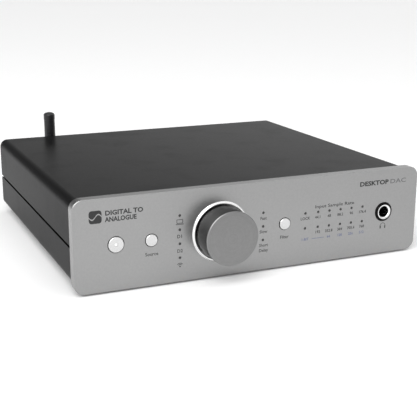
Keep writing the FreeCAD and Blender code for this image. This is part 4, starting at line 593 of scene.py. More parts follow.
@dataclass(frozen=True)
class CircuitLaminate(Finish):
    """Solder mask over copper tracks, with small bare pads."""

    track: Colour = (0.01, 0.085, 0.042)
    pad: Colour = (0.75, 0.6, 0.35)
    cells_per_metre: float = 210.0
    lines_per_cell: float = 3.0
    line_start: float = 0.62
    pad_reach: float = 0.09

    def look(self, sheet: Sheet, place: Socket) -> Look:
        """Draws the tracks and pads.

        Args:
            sheet: the material's tree.
            place: the place on the piece.

        Returns:
            The sockets for the shader.
        """
        plain = super().look(sheet, place)
        cells = sheet.add("ShaderNodeTexVoronoi", {
            "Vector": place, "Scale": self.cells_per_metre, "Randomness": 0.8},
            feature="F1", distance="CHEBYCHEV").outputs["Distance"]
        edges = sheet.math("FRACT", sheet.math("MULTIPLY", cells, self.lines_per_cell))
        tracks = sheet.math("GREATER_THAN", edges, self.line_start)
        pads = sheet.math("LESS_THAN", cells, self.pad_reach)
        colour = sheet.blend(tracks, plain.colour, rgba(self.track))
        colour = sheet.blend(pads, colour, rgba(self.pad))
        height = sheet.math("MULTIPLY_ADD", tracks, 1.5, plain.height)
        metallic = sheet.math("MULTIPLY", pads, 0.9)
        return Look(colour, plain.roughness, height, metallic)


@dataclass(frozen=True)
class StripedSkin(Finish):
    """A skin with parallel stripes, such as a flat cable's wires or a can's printed sleeve."""

    along: Axis = Axis.X
    pitch: float = 1.27 * MM
    stripe: Colour = (0.6, 0.6, 0.6)
    width: float = 0.2

    def look(self, sheet: Sheet, place: Socket) -> Look:
        """Draws the stripes.

        Args:
            sheet: the material's tree.
            place: the place on the piece.

        Returns:
            The sockets for the shader.
        """
        plain = super().look(sheet, place)
        parts = sheet.add("ShaderNodeSeparateXYZ", {0: place})
        step = sheet.math("FRACT", sheet.math("DIVIDE", parts.outputs[self.along.value], self.pitch))
        wave = sheet.math("ABSOLUTE", sheet.math("SUBTRACT", step, 0.5))
        line = sheet.spread(wave, self.width * 0.5, self.width * 0.5 + 0.05, 1.0, 0.0)
        height = sheet.math("MULTIPLY_ADD", line, -1.0, plain.height)
        return Look(sheet.blend(line, plain.colour, rgba(self.stripe)), plain.roughness, height)


# ---- meshes


def softened(points: Sequence[Point2], radius: float, steps: int = 3) -> list[Point2]:
    """Rounds the corners of an outline, apart from its two ends.

    Args:
        points: the outline.
        radius: how far along each side the rounding reaches, where the sides are long enough.
        steps: straight runs in each rounding.

    Returns:
        The rounded outline.
    """
    rounded = [points[0]]
    for before, corner, after in zip(points, points[1:], points[2:]):
        if corner[0] < 1e-7:
            rounded.append(corner)
            continue
        here = Vector(corner)
        back, ahead = Vector(before) - here, Vector(after) - here
        start = here + back.normalized() * min(radius, back.length * 0.45)
        end = here + ahead.normalized() * min(radius, ahead.length * 0.45)
        for k in range(steps + 1):
            t = k / steps
            spot = start * (1 - t) ** 2 + here * (2 * t * (1 - t)) + end * t**2
            rounded.append((spot.x, spot.y))
    rounded.append(points[-1])
    return rounded


def turned_mesh(name: str, axis: Axis, centre: Point2, profile: Sequence[Point2],
                segments: int = 128) -> Mesh:
    """Turns an outline round an axis.

    Args:
        name: the mesh's name.
        axis: the direction of the axis.
        centre: where the axis crosses the other two axes, in X, Y, Z order.
        profile: radius and place along the axis of each point. Ends on the axis are poles, and
            ends off the axis are joined to each other.
        segments: faces round the axis.

    Returns:
        A closed mesh, smooth except at sharp corners.
    """
    bm = bmesh.new()
    across = [k for k in range(3) if k != axis.value]

    def vertex(radius: float, along: float, angle: float) -> bmesh.types.BMVert:
        """Adds a vertex.

        Args:
            radius: its distance from the axis.
            along: its place along the axis.
            angle: its turn round the axis, in radians.

        Returns:
            The vertex.
        """
        spot = [0.0, 0.0, 0.0]
        spot[axis.value] = along
        spot[across[0]] = centre[0] + radius * math.cos(angle)
        spot[across[1]] = centre[1] + radius * math.sin(angle)
        return bm.verts.new(spot)

    turns = [2 * math.pi * k / segments for k in range(segments)]
    rings = [[vertex(r, a, 0.0)] if r < 1e-7 else [vertex(r, a, t) for t in turns] for r, a in profile]
    pairs = list(zip(rings, rings[1:]))
    if len(rings[0]) > 1:
        pairs.append((rings[-1], rings[0]))
    for low, high in pairs:
        if len(low) + len(high) == 2:
            continue
        for k in range(segments):
            n = (k + 1) % segments
            corners = [low[k % len(low)], low[n % len(low)], high[n % len(high)], high[k % len(high)]]
            bm.faces.new(list(dict.fromkeys(corners)))
    return finished_mesh(name, bm)


def finished_mesh(name: str, bm: bmesh.types.BMesh, smooth: bool = True) -> Mesh:
    """Closes a bmesh into a mesh with outward faces.

    Args:
        name: the mesh's name.
        bm: the shape, which is freed.
        smooth: whether its faces are shaded smooth between sharp edges.

    Returns:
        The mesh.
    """
    bmesh.ops.recalc_face_normals(bm, faces=bm.faces)
    mesh = bpy.data.meshes.new(name)
    bm.to_mesh(mesh)
    bm.free()
    if smooth:
        mesh.shade_smooth()
        mesh.set_sharp_from_angle(angle=math.radians(32))
    return mesh


def plain_mesh(host: bpy.types.Object) -> Mesh:
    """Turns an object as it is evaluated into a plain mesh, and removes the object.

    Args:
        host: the object, with a live modifier or a text curve.

    Returns:
        The mesh.
    """
    graph = bpy.context.evaluated_depsgraph_get()
    mesh = bpy.data.meshes.new_from_object(host.evaluated_get(graph), depsgraph=graph)
    bpy.data.objects.remove(host)
    return mesh


def joined_mesh(name: str, parts: Iterable[Mesh]) -> Mesh:
    """Joins meshes into one and removes them.

    Args:
        name: the joined mesh's name.
        parts: the meshes to join.

    Returns:
        The joined mesh.
    """
    bm = bmesh.new()
    for part in parts:
        bm.from_mesh(part)
        bpy.data.meshes.remove(part)
    mesh = bpy.data.meshes.new(name)
    bm.to_mesh(mesh)
    bm.free()
    return mesh


def placed(name: str, data: bpy.types.ID) -> bpy.types.Object:
    """Adds an object to the scene.

    Args:
        name: its name.
        data: its mesh, curve, camera or light.

    Returns:
        The object.
    """
    thing = bpy.data.objects.new(name, data)
    bpy.context.scene.collection.objects.link(thing)
    return thing


def add_piece(name: str, mesh: Mesh, finish: Finish, body: str,
              nodes: Sequence[str] = ()) -> bpy.types.Object:
    """Adds a finished piece that rides on a body.

    Args:
        name: the piece's name.
        mesh: its mesh, in the frame's own place.
        finish: its finish.
        body: the body that it rides on.
        nodes: the frame's nodes that it stands for.

    Returns:
        The piece.
    """
    mesh.materials.clear()
    mesh.materials.append(finish.material())
    mesh.name = name
    piece = placed(name, mesh)
    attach(piece, body)
    if nodes:
        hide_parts(*nodes)
    LOG.info("piece %s on %s, %d faces", name, body, len(mesh.polygons))
    return piece


def dress(finish: Finish, *nodes: str) -> None:
    """Gives a finish to the frame's own nodes.

    Args:
        finish: the finish.
        nodes: the names of the nodes.
    """
    for name in nodes:
        node = frame["nodes"][name]
        if not node.material_slots:
            node.data.materials.append(None)
        for place in node.material_slots:
            place.material = finish.material()
        LOG.info("node %s in %s", name, finish.name)


# ---- repeated shapes


@dataclass
class RepeatTree:
    """A geometry tree that repeats a shape, run with its sizes to give a plain mesh."""

    name: str
    inputs: dict[str, type]
    fill: Callable[[Sheet, Node], Socket]

    def tree(self) -> Tree:
        """Returns the tree, built on its first use.

        Returns:
            The tree.
        """
        found = bpy.data.node_groups.get(self.name)
        if found:
            return found
        tree = bpy.data.node_groups.new(self.name, "GeometryNodeTree")
        tree.interface.new_socket("Geometry", in_out="OUTPUT", socket_type="NodeSocketGeometry")
        for label, kind in {**self.inputs, "Finish": bpy.types.Material}.items():
            tree.interface.new_socket(label, in_out="INPUT", socket_type=SOCKETS[kind])
        sheet = Sheet(tree)
        start = tree.nodes.new("NodeGroupInput")
        instances = self.fill(sheet, start)
        real = sheet.add("GeometryNodeRealizeInstances", {0: instances}).outputs[0]
        skin = sheet.add("GeometryNodeSetMaterial", {"Geometry": real,
                                                     "Material": start.outputs["Finish"]})
        sheet.add("NodeGroupOutput", {0: skin.outputs[0]})
        return tree

    def mesh(self, name: str, finish: Finish, **sizes: float) -> Mesh:
        """Runs the tree.

        Args:
            name: the mesh's name.
            finish: its finish.
            sizes: the tree's inputs, with underscores for the spaces in their names.

        Returns:
            A plain mesh about the tree's own origin.
        """
        tree = self.tree()
        host = placed(name, bpy.data.meshes.new(f"{name}_host"))
        run = host.modifiers.new("repeat", "NODES")
        run.node_group = tree
        wanted = {key.replace("_", " ").title(): value for key, value in sizes.items()}
        wanted["Finish"] = finish.material()
        for item in tree.interface.items_tree:
            if item.in_out == "INPUT" and item.name in wanted:
                run[item.identifier] = wanted[item.name]
        mesh = plain_mesh(host)
        mesh.name = name
        return mesh


def fill_ribs(sheet: Sheet, start: Node) -> Socket:
    """Ribs along Z, spaced evenly round a circle.

    Args:
        sheet: the tree to fill.
        start: the tree's input node.

    Returns:
        The ribs, as instances.
    """
    count, radius, depth, width, length = start.outputs[:5]
    circle = sheet.add("GeometryNodeMeshCircle", {"Vertices": count, "Radius": radius})
    size = sheet.add("ShaderNodeCombineXYZ", {0: depth, 1: width, 2: length})
    rib = sheet.add("GeometryNodeMeshCube", {"Size": size.outputs[0]})
    place = sheet.add("GeometryNodeInputPosition")
    turn = sheet.add("FunctionNodeAlignRotationToVector", {"Vector": place.outputs[0]}, axis="X")
    copies = sheet.add("GeometryNodeInstanceOnPoints", {
        "Points": circle.outputs[0], "Instance": rib.outputs[0], "Rotation": turn.outputs[0]})
    return copies.outputs[0]


def fill_rings(sheet: Sheet, start: Node) -> Socket:
    """Round beads round the Z axis, one above another.

    Args:
        sheet: the tree to fill.
        start: the tree's input node.

    Returns:
        The beads, as instances.
    """
    count, radius, pitch, bead = (start.outputs[key] for key in ("Count", "Radius", "Pitch", "Bead"))
    step = sheet.add("ShaderNodeCombineXYZ", {2: pitch})
    line = sheet.add("GeometryNodeMeshLine", {"Count": count, "Offset": step.outputs[0]})
    path, section = (sheet.add("GeometryNodeCurvePrimitiveCircle", {
        "Resolution": sides, "Radius": size}) for sides, size in ((72, radius), (8, bead)))
    ring = sheet.add("GeometryNodeCurveToMesh", {"Curve": path.outputs[0],
                                                 "Profile Curve": section.outputs[0]})
    copies = sheet.add("GeometryNodeInstanceOnPoints", {"Points": line.outputs[0],
                                                        "Instance": ring.outputs[0]})
    return copies.outputs[0]


def fill_scatter(sheet: Sheet, start: Node) -> Socket:
    """Small boxes scattered on a rectangle, each turned by quarter turns.

    Args:
        sheet: the tree to fill.
        start: the tree's input node.

    Returns:
        The boxes, as instances.
    """
    patch = sheet.add("GeometryNodeMeshGrid", {"Size X": start.outputs["Width"],
                                               "Size Y": start.outputs["Depth"]})
    points = sheet.add("GeometryNodeDistributePointsOnFaces", {
        "Mesh": patch.outputs[0], "Distance Min": start.outputs["Gap"], "Density Max": PASSIVE_DENSITY,
        "Seed": start.outputs["Seed"]}, distribute_method="POISSON")
    size = sheet.add("ShaderNodeCombineXYZ", dict(enumerate(PASSIVE_SIZE)))
    part = sheet.add("GeometryNodeMeshCube", {"Size": size.outputs[0]})
    quarter = sheet.add("FunctionNodeRandomValue", {"Min": 0, "Max": 3, "Seed": 7}, data_type="INT")
    number = [socket for socket in quarter.outputs if socket.enabled][0]
    turn = sheet.math("MULTIPLY", number, math.pi / 2)
    spin = sheet.add("ShaderNodeCombineXYZ", {2: turn})
    copies = sheet.add("GeometryNodeInstanceOnPoints", {
        "Points": points.outputs["Points"], "Instance": part.outputs[0], "Rotation": spin.outputs[0]})
    return copies.outputs[0]


RIBS = RepeatTree("ribs_round_axis", {"Count": int, "Radius": float, "Depth": float, "Width": float,
                                      "Length": float}, fill_ribs)
RINGS = RepeatTree("stacked_rings", {"Count": int, "Radius": float, "Pitch": float, "Bead": float},
                   fill_rings)
SCATTER = RepeatTree("scattered_parts", {"Width": float, "Depth": float, "Gap": float, "Seed": int},
                     fill_scatter)


# ---- finishes of this unit

# The edge values in these finishes paint light on edges: painted shade on the panel's edge, painted
# highlights on the covers, the rear panel, the screws and the gold.
PANEL_GREY = Finish("panel_satin_aluminium", (0.325, 0.325, 0.325), 0.34, metallic=1.0,
                    grain_size=0.16 * MM, grain_depth=0.0035 * MM, tone=0.035, gloss=0.03,
                    wear=0.05, edge_radius=0.3 * MM, painted_edge_light=-0.15)
COVER_GREY = Finish("cover_dark_aluminium", (0.064, 0.064, 0.065), 0.33, metallic=1.0, edge_tint=0.5,
                    grain_size=0.2 * MM, grain_depth=0.004 * MM, tone=0.07, gloss=0.035, wear=0.05,
                    edge_radius=0.35 * MM, painted_edge_light=1.6)
BRIGHT_BUTTON = Finish("button_bright_aluminium", (0.63, 0.63, 0.63), 0.3, metallic=1.0,
                       grain_size=0.12 * MM, grain_depth=0.002 * MM, tone=0.02)
RING_CHROME = Finish("ring_polished_aluminium", (0.84, 0.84, 0.84), 0.2, metallic=1.0,
                     grain_size=0.5 * MM, grain_depth=0.0008 * MM, tone=0.015, gloss=0.03)
REAR_BLACK = SpottedPlastic("rear_panel_black_paint", (0.022, 0.022, 0.023), 0.5,
                            grain_size=0.25 * MM, grain_depth=0.012 * MM, tone=0.12,
                            edge_radius=0.3 * MM, painted_edge_light=2.5, pit_size=0.5 * MM)
BLACK_PLASTIC = SpottedPlastic("moulded_black_plastic", (0.016, 0.016, 0.017), 0.42,
                               grain_size=0.2 * MM, grain_depth=0.006 * MM, tone=0.12)
DARK_PLASTIC = SpottedPlastic("moulded_dark_plastic", (0.03, 0.03, 0.032), 0.5,
                              grain_size=0.3 * MM, grain_depth=0.008 * MM, tone=0.12)
RUBBER = SpottedPlastic("foot_rubber", (0.018, 0.018, 0.018), 0.75, grain_size=0.3 * MM,
                        grain_depth=0.02 * MM, tone=0.15, specular=0.3)
MAST_RUBBER = Finish("mast_satin_rubber", (0.009, 0.009, 0.01), 0.3, grain_size=0.4 * MM,
                     grain_depth=0.004 * MM, tone=0.15, specular=0.45)
BLACK_SCREW = Finish("screw_black_oxide", (0.05, 0.05, 0.052), 0.34, metallic=0.85,
                     grain_size=0.15 * MM, grain_depth=0.003 * MM, tone=0.12,
                     edge_radius=0.15 * MM, painted_edge_light=1.5)
ZINC = Finish("zinc_plate", (0.62, 0.63, 0.62), 0.32, metallic=1.0, grain_size=0.25 * MM,
              tone=0.08, gloss=0.08)
SHEET_STEEL = BrushedMetal("bracket_sheet_steel", (0.5, 0.51, 0.51), 0.36, metallic=1.0,
                           grain_size=0.3 * MM, tone=0.07)
NICKEL = Finish("nickel_plate", (0.66, 0.63, 0.58), 0.22, metallic=1.0, grain_size=0.4 * MM,
                grain_depth=0.001 * MM, tone=0.04, gloss=0.05)
GOLD = Finish("gold_plate", (0.9, 0.66, 0.3), 0.2, metallic=1.0, grain_size=0.4 * MM,
              grain_depth=0.001 * MM, tone=0.05, gloss=0.05, edge_radius=0.12 * MM, painted_edge_light=0.3)
SILVER = Finish("silver_plate", (0.86, 0.84, 0.8), 0.22, metallic=1.0, grain_size=0.3 * MM,
                grain_depth=0.001 * MM, tone=0.06, gloss=0.06)
TIN = Finish("tin_plate", (0.7, 0.7, 0.69), 0.38, metallic=1.0, grain_size=0.5 * MM, tone=0.1,
             gloss=0.1)
SMOKED = Finish("light_pipe_smoked_plastic", (0.012, 0.012, 0.012), 0.16, grain_size=0.2 * MM,
                grain_depth=0.001 * MM, tone=0.1, coat=0.4)
CLEAR_WHITE = Finish("lens_frosted_plastic", (0.88, 0.88, 0.88), 0.25, grain_size=0.15 * MM,
                     grain_depth=0.001 * MM, tone=0.03, coat=0.3)
LAMP = Finish("indicator_lamp_resin", (0.8, 0.76, 0.52), 0.28, grain_size=0.2 * MM, tone=0.08)
BOARD_GREEN = CircuitLaminate("circuit_board_mask", (0.006, 0.06, 0.028), 0.3,
                              grain_size=0.4 * MM, grain_depth=0.012 * MM, tone=0.15, coat=0.25)
CREAM_PLASTIC = SpottedPlastic("connector_cream_plastic", (0.6, 0.55, 0.43), 0.45,
                               grain_size=0.25 * MM, grain_depth=0.004 * MM, tone=0.06)
CABLE_GREY = StripedSkin("flat_cable_grey", (0.42, 0.43, 0.44), 0.4, stripe=(0.24, 0.25, 0.26),
                         grain_size=0.3 * MM, width=0.18)
CAN_SLEEVE = StripedSkin("capacitor_sleeve", (0.02, 0.03, 0.075), 0.3, pitch=16 * MM,
                         stripe=(0.55, 0.55, 0.5), grain_size=0.5 * MM, width=0.1, coat=0.3)
FILM_RED = Finish("film_capacitor_resin", (0.36, 0.03, 0.02), 0.3, grain_size=0.4 * MM, tone=0.1,
                  coat=0.3)
CHIP_BLACK = SpottedPlastic("chip_moulding", (0.02, 0.02, 0.021), 0.55, grain_size=0.15 * MM,
                            grain_depth=0.006 * MM, tone=0.15)
SINK_BLACK = BrushedMetal("heat_sink_black_anodising", (0.035, 0.035, 0.036), 0.42, metallic=0.8,
                          grain_size=0.4 * MM, tone=0.15, along=Axis.Z)
PART_TAN = Finish("small_parts_ceramic", (0.3, 0.2, 0.12), 0.35, grain_size=0.2 * MM, tone=0.25)
PRINTED = {"roughness": 0.5, "grain_size": 0.08 * MM, "grain_depth": 0.001 * MM}
INK = Finish("print_dark_ink", (0.012, 0.012, 0.013), tone=0.1, **PRINTED)
SOFT_INK = Finish("print_grey_ink", (0.1, 0.1, 0.105), tone=0.08, **PRINTED)
BLUE_INK = Finish("print_blue_ink", (0.1, 0.115, 0.21), tone=0.08, **PRINTED)
PALE_INK = Finish("print_pale_ink", (0.62, 0.62, 0.6), tone=0.05, **PRINTED)


# ---- printing


@dataclass(frozen=True)
class Label:
    """A word of printing: its text, its anchor in mm, its capital height in mm and its weight."""

    text: str
    across: float
    up: float
    height: float
    align: Align = Align.CENTRE
    weight: float = 0.0
    width: float | None = None


@dataclass
class PanelPrint:
    """Printing on a panel, in one ink and as one thin piece."""

    name: str
    side: Side
    finish: Finish
    slot: str
    thickness: float = 0.012 * MM
    labels: list[Label] = field(default_factory=list)
    shapes: list[list[Point2]] = field(default_factory=list)

    def place(self) -> Matrix:
        """The panel's own plane in the frame: across, up and out of the panel.

        Returns:
            The plane's matrix.
        """
        low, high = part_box("front_panel" if self.side is Side.FRONT else "rear_panel")
        if self.side is Side.FRONT:
            turn = Matrix(((1, 0, 0), (0, 0, -1), (0, 1, 0)))
            return Matrix.Translation((0.0, low.y, low.z)) @ turn.to_4x4()
        turn = Matrix(((-1, 0, 0), (0, 0, 1), (0, 1, 0)))
        return Matrix.Translation((0.0, high.y, 0.0)) @ turn.to_4x4()

    def text_mesh(self, label: Label) -> Mesh:
        """Makes a word's mesh, at its place on the panel's plane.

        Args:
            label: the word.

        Returns:
            Its mesh, a closed solid of the print's thickness.
        """
        curve = bpy.data.curves.new(self.name, "FONT")
        curve.body = label.text
        curve.align_x = label.align.value
        curve.align_y = "CENTER"
        curve.size = label.height * MM / CAPITAL_SHARE
        curve.offset = label.weight * MM
        curve.resolution_u = 2
        curve.extrude = self.thickness / 2
        holder = placed(self.name, curve)
        mesh = plain_mesh(holder)
        bpy.data.curves.remove(curve)
        across = np.array([v.co.x for v in mesh.vertices])
        fit = label.width * MM / float(np.ptp(across)) if label.width else 1.0
        shift = (label.across * MM, label.up * MM, self.thickness / 2)
        mesh.transform(Matrix.Translation(shift) @ Matrix.Diagonal((fit, 1.0, 1.0, 1.0)))
        return mesh

    def shape_mesh(self) -> Mesh:
        """Makes the plain shapes' mesh, each a thin prism on the panel's plane.

        Returns:
            The mesh.
        """
        bm = bmesh.new()
        for outline in self.shapes:
            low = [bm.verts.new((x * MM, y * MM, 0.0)) for x, y in outline]
            high = [bm.verts.new((x * MM, y * MM, self.thickness)) for x, y in outline]
            bm.faces.new(low)
            bm.faces.new(high)
            for k in range(len(outline)):
                n = (k + 1) % len(outline)
                bm.faces.new((low[k], low[n], high[n], high[k]))
        bmesh.ops.recalc_face_normals(bm, faces=bm.faces)
        return finished_mesh(f"{self.name}_shapes", bm, smooth=False)

    def build(self) -> bpy.types.Object:
        """Builds the print and returns it.

        Returns:
            The print.
        """
        parts = [self.text_mesh(label) for label in self.labels]
        if self.shapes:
            parts.append(self.shape_mesh())
        mesh = joined_mesh(self.name, parts)
        mesh.transform(self.place())
        return add_piece(self.name, mesh, self.finish, "case")


def arc(centre: Point2, radius: float, width: float, start: float, end: float, steps: int = 12
        ) -> list[list[Point2]]:
    """A band along an arc, as four-sided shapes.

    Args:
        centre: the arc's centre.
        radius: the band's middle radius.
        width: the band's width.
        start: the first angle in degrees.
        end: the last angle in degrees.
        steps: the number of shapes.

    Returns:
        The shapes.
    """
    shapes = []
    for k in range(steps):
        a, b = (math.radians(start + (end - start) * t / steps) for t in (k, k + 1))
        shapes.append([(centre[0] + r * math.cos(t), centre[1] + r * math.sin(t)) for r, t in (
            (radius - width / 2, a), (radius + width / 2, a), (radius + width / 2, b),
            (radius - width / 2, b))])
    return shapes


def disc(centre: Point2, radius: float, steps: int = 24) -> list[Point2]:
    """A round shape.

    Args:
        centre: the disc's middle.
        radius: its radius.
        steps: its number of sides.

    Returns:
        The disc's corners.
    """
    return [(centre[0] + radius * math.cos(2 * math.pi * k / steps),
             centre[1] + radius * math.sin(2 * math.pi * k / steps)) for k in range(steps)]


def bar(start: Point2, end: Point2, width: float) -> list[Point2]:
    """A straight bar between two points.

    Args:
        start: the middle of one end.
        end: the middle of the other end.
        width: the bar's width.

    Returns:
        The bar's four corners.
    """
    along = (Vector(end) - Vector(start)).normalized()
    across = Vector((-along.y, along.x)) * width / 2
    return [tuple(Vector(spot) + side * across) for spot, side in (
        (start, -1), (end, -1), (end, 1), (start, 1))]


def wave_mark(centre: Point2, size: float) -> list[list[Point2]]:
    """A solid rounded square with a sine wave left open through its middle.

    Args:
        centre: the mark's middle.
        size: the mark's width.

    Returns:
        The shapes above and below the wave.
    """
    half, corner, steps = size / 2, size * 0.22, 28
    upper, lower = [], []
    for k in range(steps + 1):
        x = -half + size * k / steps
        inset = max(abs(x) - (half - corner), 0.0)
        edge = half - corner + math.sqrt(max(corner**2 - inset**2, 0.0))
        line = math.sin(2 * math.pi * x / size) * size * 0.2
        upper.append((x, edge, line + size * 0.05))
        lower.append((x, -edge, line - size * 0.05))
    shapes = []
    for run in (upper, lower):
        for (xa, outer_a, inner_a), (xb, outer_b, inner_b) in zip(run, run[1:]):
            corners = [(xa, inner_a), (xb, inner_b), (xb, outer_b), (xa, outer_a)]
            shapes.append([(centre[0] + x, centre[1] + y) for x, y in corners])
    return shapes


@dataclass
class FrontPrinting:
    """Every label, mark and pictogram on the front panel. Places are mm from its lower middle."""

    dot_rows: tuple[float, float] = (27.5, 18.5)
    columns: tuple[float, ...] = (30.4, 38.85, 46.4, 53.9, 61.5, 69.05)
    upper_rates: tuple[str, ...] = ("LOCK", "44.1", "48", "88.2", "96", "176.4")
    lower_rates: tuple[str, ...] = ("", "192", "352.8", "384", "705.6", "768")
    ratios: tuple[str, ...] = ("64", "128", "256", "512")

    def words(self) -> list[Label]:
        """The dark labels.

        Returns:
            The labels.
        """
        small = (("Source", -64.0, 18.1, 1.95), ("Filter", 16.9, 18.1, 1.95),
                 ("Fast", 3.3, 30.7, 1.85), ("Slow", 3.4, 22.8, 1.85), ("Short", 3.6, 14.8, 1.85),
                 ("Delay", 3.6, 11.7, 1.85), ("D1", -47.6, 26.1, 2.0), ("D2", -47.6, 17.8, 2.0))
        labels = [Label(*spot, weight=0.035) for spot in small]
        labels += [Label("Input Sample Rate", 49.9, 33.8, 1.95, weight=0.03, width=26.2),
                   Label("DIGITAL TO", -89.6, 43.7, 2.6, Align.LEFT, 0.12, 21.0),
                   Label("ANALOGUE", -89.6, 40.2, 2.6, Align.LEFT, 0.12, 17.6),
                   Label("DESKTOP", 66.5, 44.2, 2.7, Align.LEFT, 0.14, 20.0)]
        for up, texts in zip(self.dot_rows, (self.upper_rates, self.lower_rates)):
            labels += [Label(text, x, up, 1.7, weight=0.04)
                       for text, x in zip(texts, self.columns) if text]
        return labels

    def pictograms(self) -> list[list[Point2]]:
        """The mark, and the computer, radio and headphone pictograms.

        Returns:
            The shapes.
        """
        shapes = wave_mark((-94.9, 42.2), 7.0)
        left, right, low, high = -49.3, -45.9, 33.7, 35.7
        sides = (((left, low), (right, low)), ((left, high), (right, high)),
                 ((left, low), (left, high)), ((right, low), (right, high)))
        shapes += [bar(start, end, 0.32) for start, end in sides]
        shapes.append(bar((left - 0.6, low - 0.65), (right + 0.6, low - 0.65), 0.36))
        shapes.append(disc((-47.6, 8.9), 0.42))
        for radius in (1.15, 1.95):
            shapes += arc((-47.6, 8.9), radius, 0.36, 40, 140)
        shapes += arc((84.0, 17.2), 1.75, 0.3, 0, 180, 18)
        for side in (-1, 1):
            shapes.append(bar((84.0 + side * 1.62, 17.3), (84.0 + side * 1.62, 15.6), 0.75))
        return shapes

    def build(self) -> None:
        """Builds the front panel's print, ink by ink."""
        PanelPrint("front_print_dark", Side.FRONT, INK, "front_panel", labels=self.words(),
                   shapes=self.pictograms()).build()
        PanelPrint("front_print_grey", Side.FRONT, SOFT_INK, "front_panel",
                   labels=[Label("DAC", 87.6, 44.2, 2.7, Align.LEFT, 0.04, 11.0)]).build()
        blue = [Label("1-BIT", 30.5, 14.9, 1.6, weight=0.04)]
        blue += [Label(text, x, 14.9, 1.6, weight=0.04)
                 for text, x in zip(self.ratios, self.columns[2:])]
        PanelPrint("front_print_blue", Side.FRONT, BLUE_INK, "front_panel", labels=blue,
                   shapes=[bar((35.1, 14.9), (43.3, 14.9), 0.28)]).build()


@dataclass
class RearPrinting:
    """The sockets' names on the rear panel."""

    height: float = 1.7

    def build(self) -> None:
        """Builds the rear panel's print."""
        record = frame["record"]
        places = {mount["name"]: mount["pos_m"] for mount in record["mounts"]}
        spots = {
            "balanced_out_left": ("Balanced L", 18.0), "balanced_out_right": ("Balanced R", 18.0),
            "line_out_left": ("L", 7.4), "line_out_right": ("R", -7.4),
            "coax_in_one": ("D1 Coax", 7.4), "coax_in_two": ("D2 Coax", 7.4),
            "optical_in_one": ("Optical", -7.2), "optical_in_two": ("Optical", -7.2),
            "usb_in": ("Computer", 8.2), "power_in": ("12 V", 7.6),
        }
        labels = [Label(text, -places[name][0] / MM, places[name][2] / MM + up, self.height)
                  for name, (text, up) in spots.items()]
        across = -places["line_out_left"][0] / MM
        labels.append(Label("Line Out", across, places["line_out_left"][2] / MM + 10.6, self.height))
        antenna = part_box("antenna_socket")
        middle = (antenna[0] + antenna[1]) / 2 / MM
        labels.append(Label("Antenna", -middle.x, middle.z - 8.2, self.height))
        PanelPrint("rear_print", Side.REAR, PALE_INK, "rear_panel", labels=labels).build()


# ---- sub-assemblies


@dataclass(frozen=True)
class RoundNode:
    """Where a round node stands: its middle in X and Z, its radius and its two ends along Y."""

    centre: Point2
    radius: float
    front: float
    back: float

    @classmethod
    def measured(cls, node: str) -> "RoundNode":
        """Measures a node of the frame.

        Args:
            node: the node's name.

        Returns:
            Its place and size.
        """
        low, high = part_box(node)
        centre = ((low.x + high.x) / 2, (low.z + high.z) / 2)
        return cls(centre, (high.x - low.x) / 2, low.y, high.y)


@dataclass
class Enclosure:
    """The covers, the two panels, the inner bracket, the feet and the case's screws."""

    foot_radius: float = 8.0 * MM
    foot_segments: int = 72
    sole: tuple[Point2, ...] = ((0.0, 0.35), (2.2, 0.35), (2.6, 0.0), (4.2, 0.0), (4.5, 0.3),
                                (5.0, 0.3), (5.3, 0.0), (7.2, 0.0), (8.0, 0.8))

    def feet(self) -> None:
        """Builds the rubber feet with ridged soles."""
        low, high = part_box("feet")
        edge, top = self.foot_radius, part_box("bottom_cover")[0].z
        outline = [(radius * MM, rise * MM) for radius, rise in self.sole]
        outline += [(edge, top - 0.3 * MM), (edge - 0.3 * MM, top), (0.0, top)]
        rounded = softened(outline, 0.25 * MM)
        parts = [turned_mesh("foot", Axis.Z, (x, y), rounded, self.foot_segments)
                 for x in (low.x + edge, high.x - edge) for y in (low.y + edge, high.y - edge)]
        add_piece("rubber_feet", joined_mesh("rubber_feet", parts), RUBBER, "case", ["feet"])

    def build(self) -> None:
        """Dresses the case and builds its feet."""
        dress(PANEL_GREY, "front_panel")
        dress(COVER_GREY, "top_cover", "bottom_cover")
        dress(REAR_BLACK, "rear_panel")
        dress(SHEET_STEEL, "front_bracket")
        dress(BLACK_SCREW, "rear_screws", "base_screws", "balanced_output_screws")
        dress(ZINC, "panel_screws", "board_screws")
        self.feet()


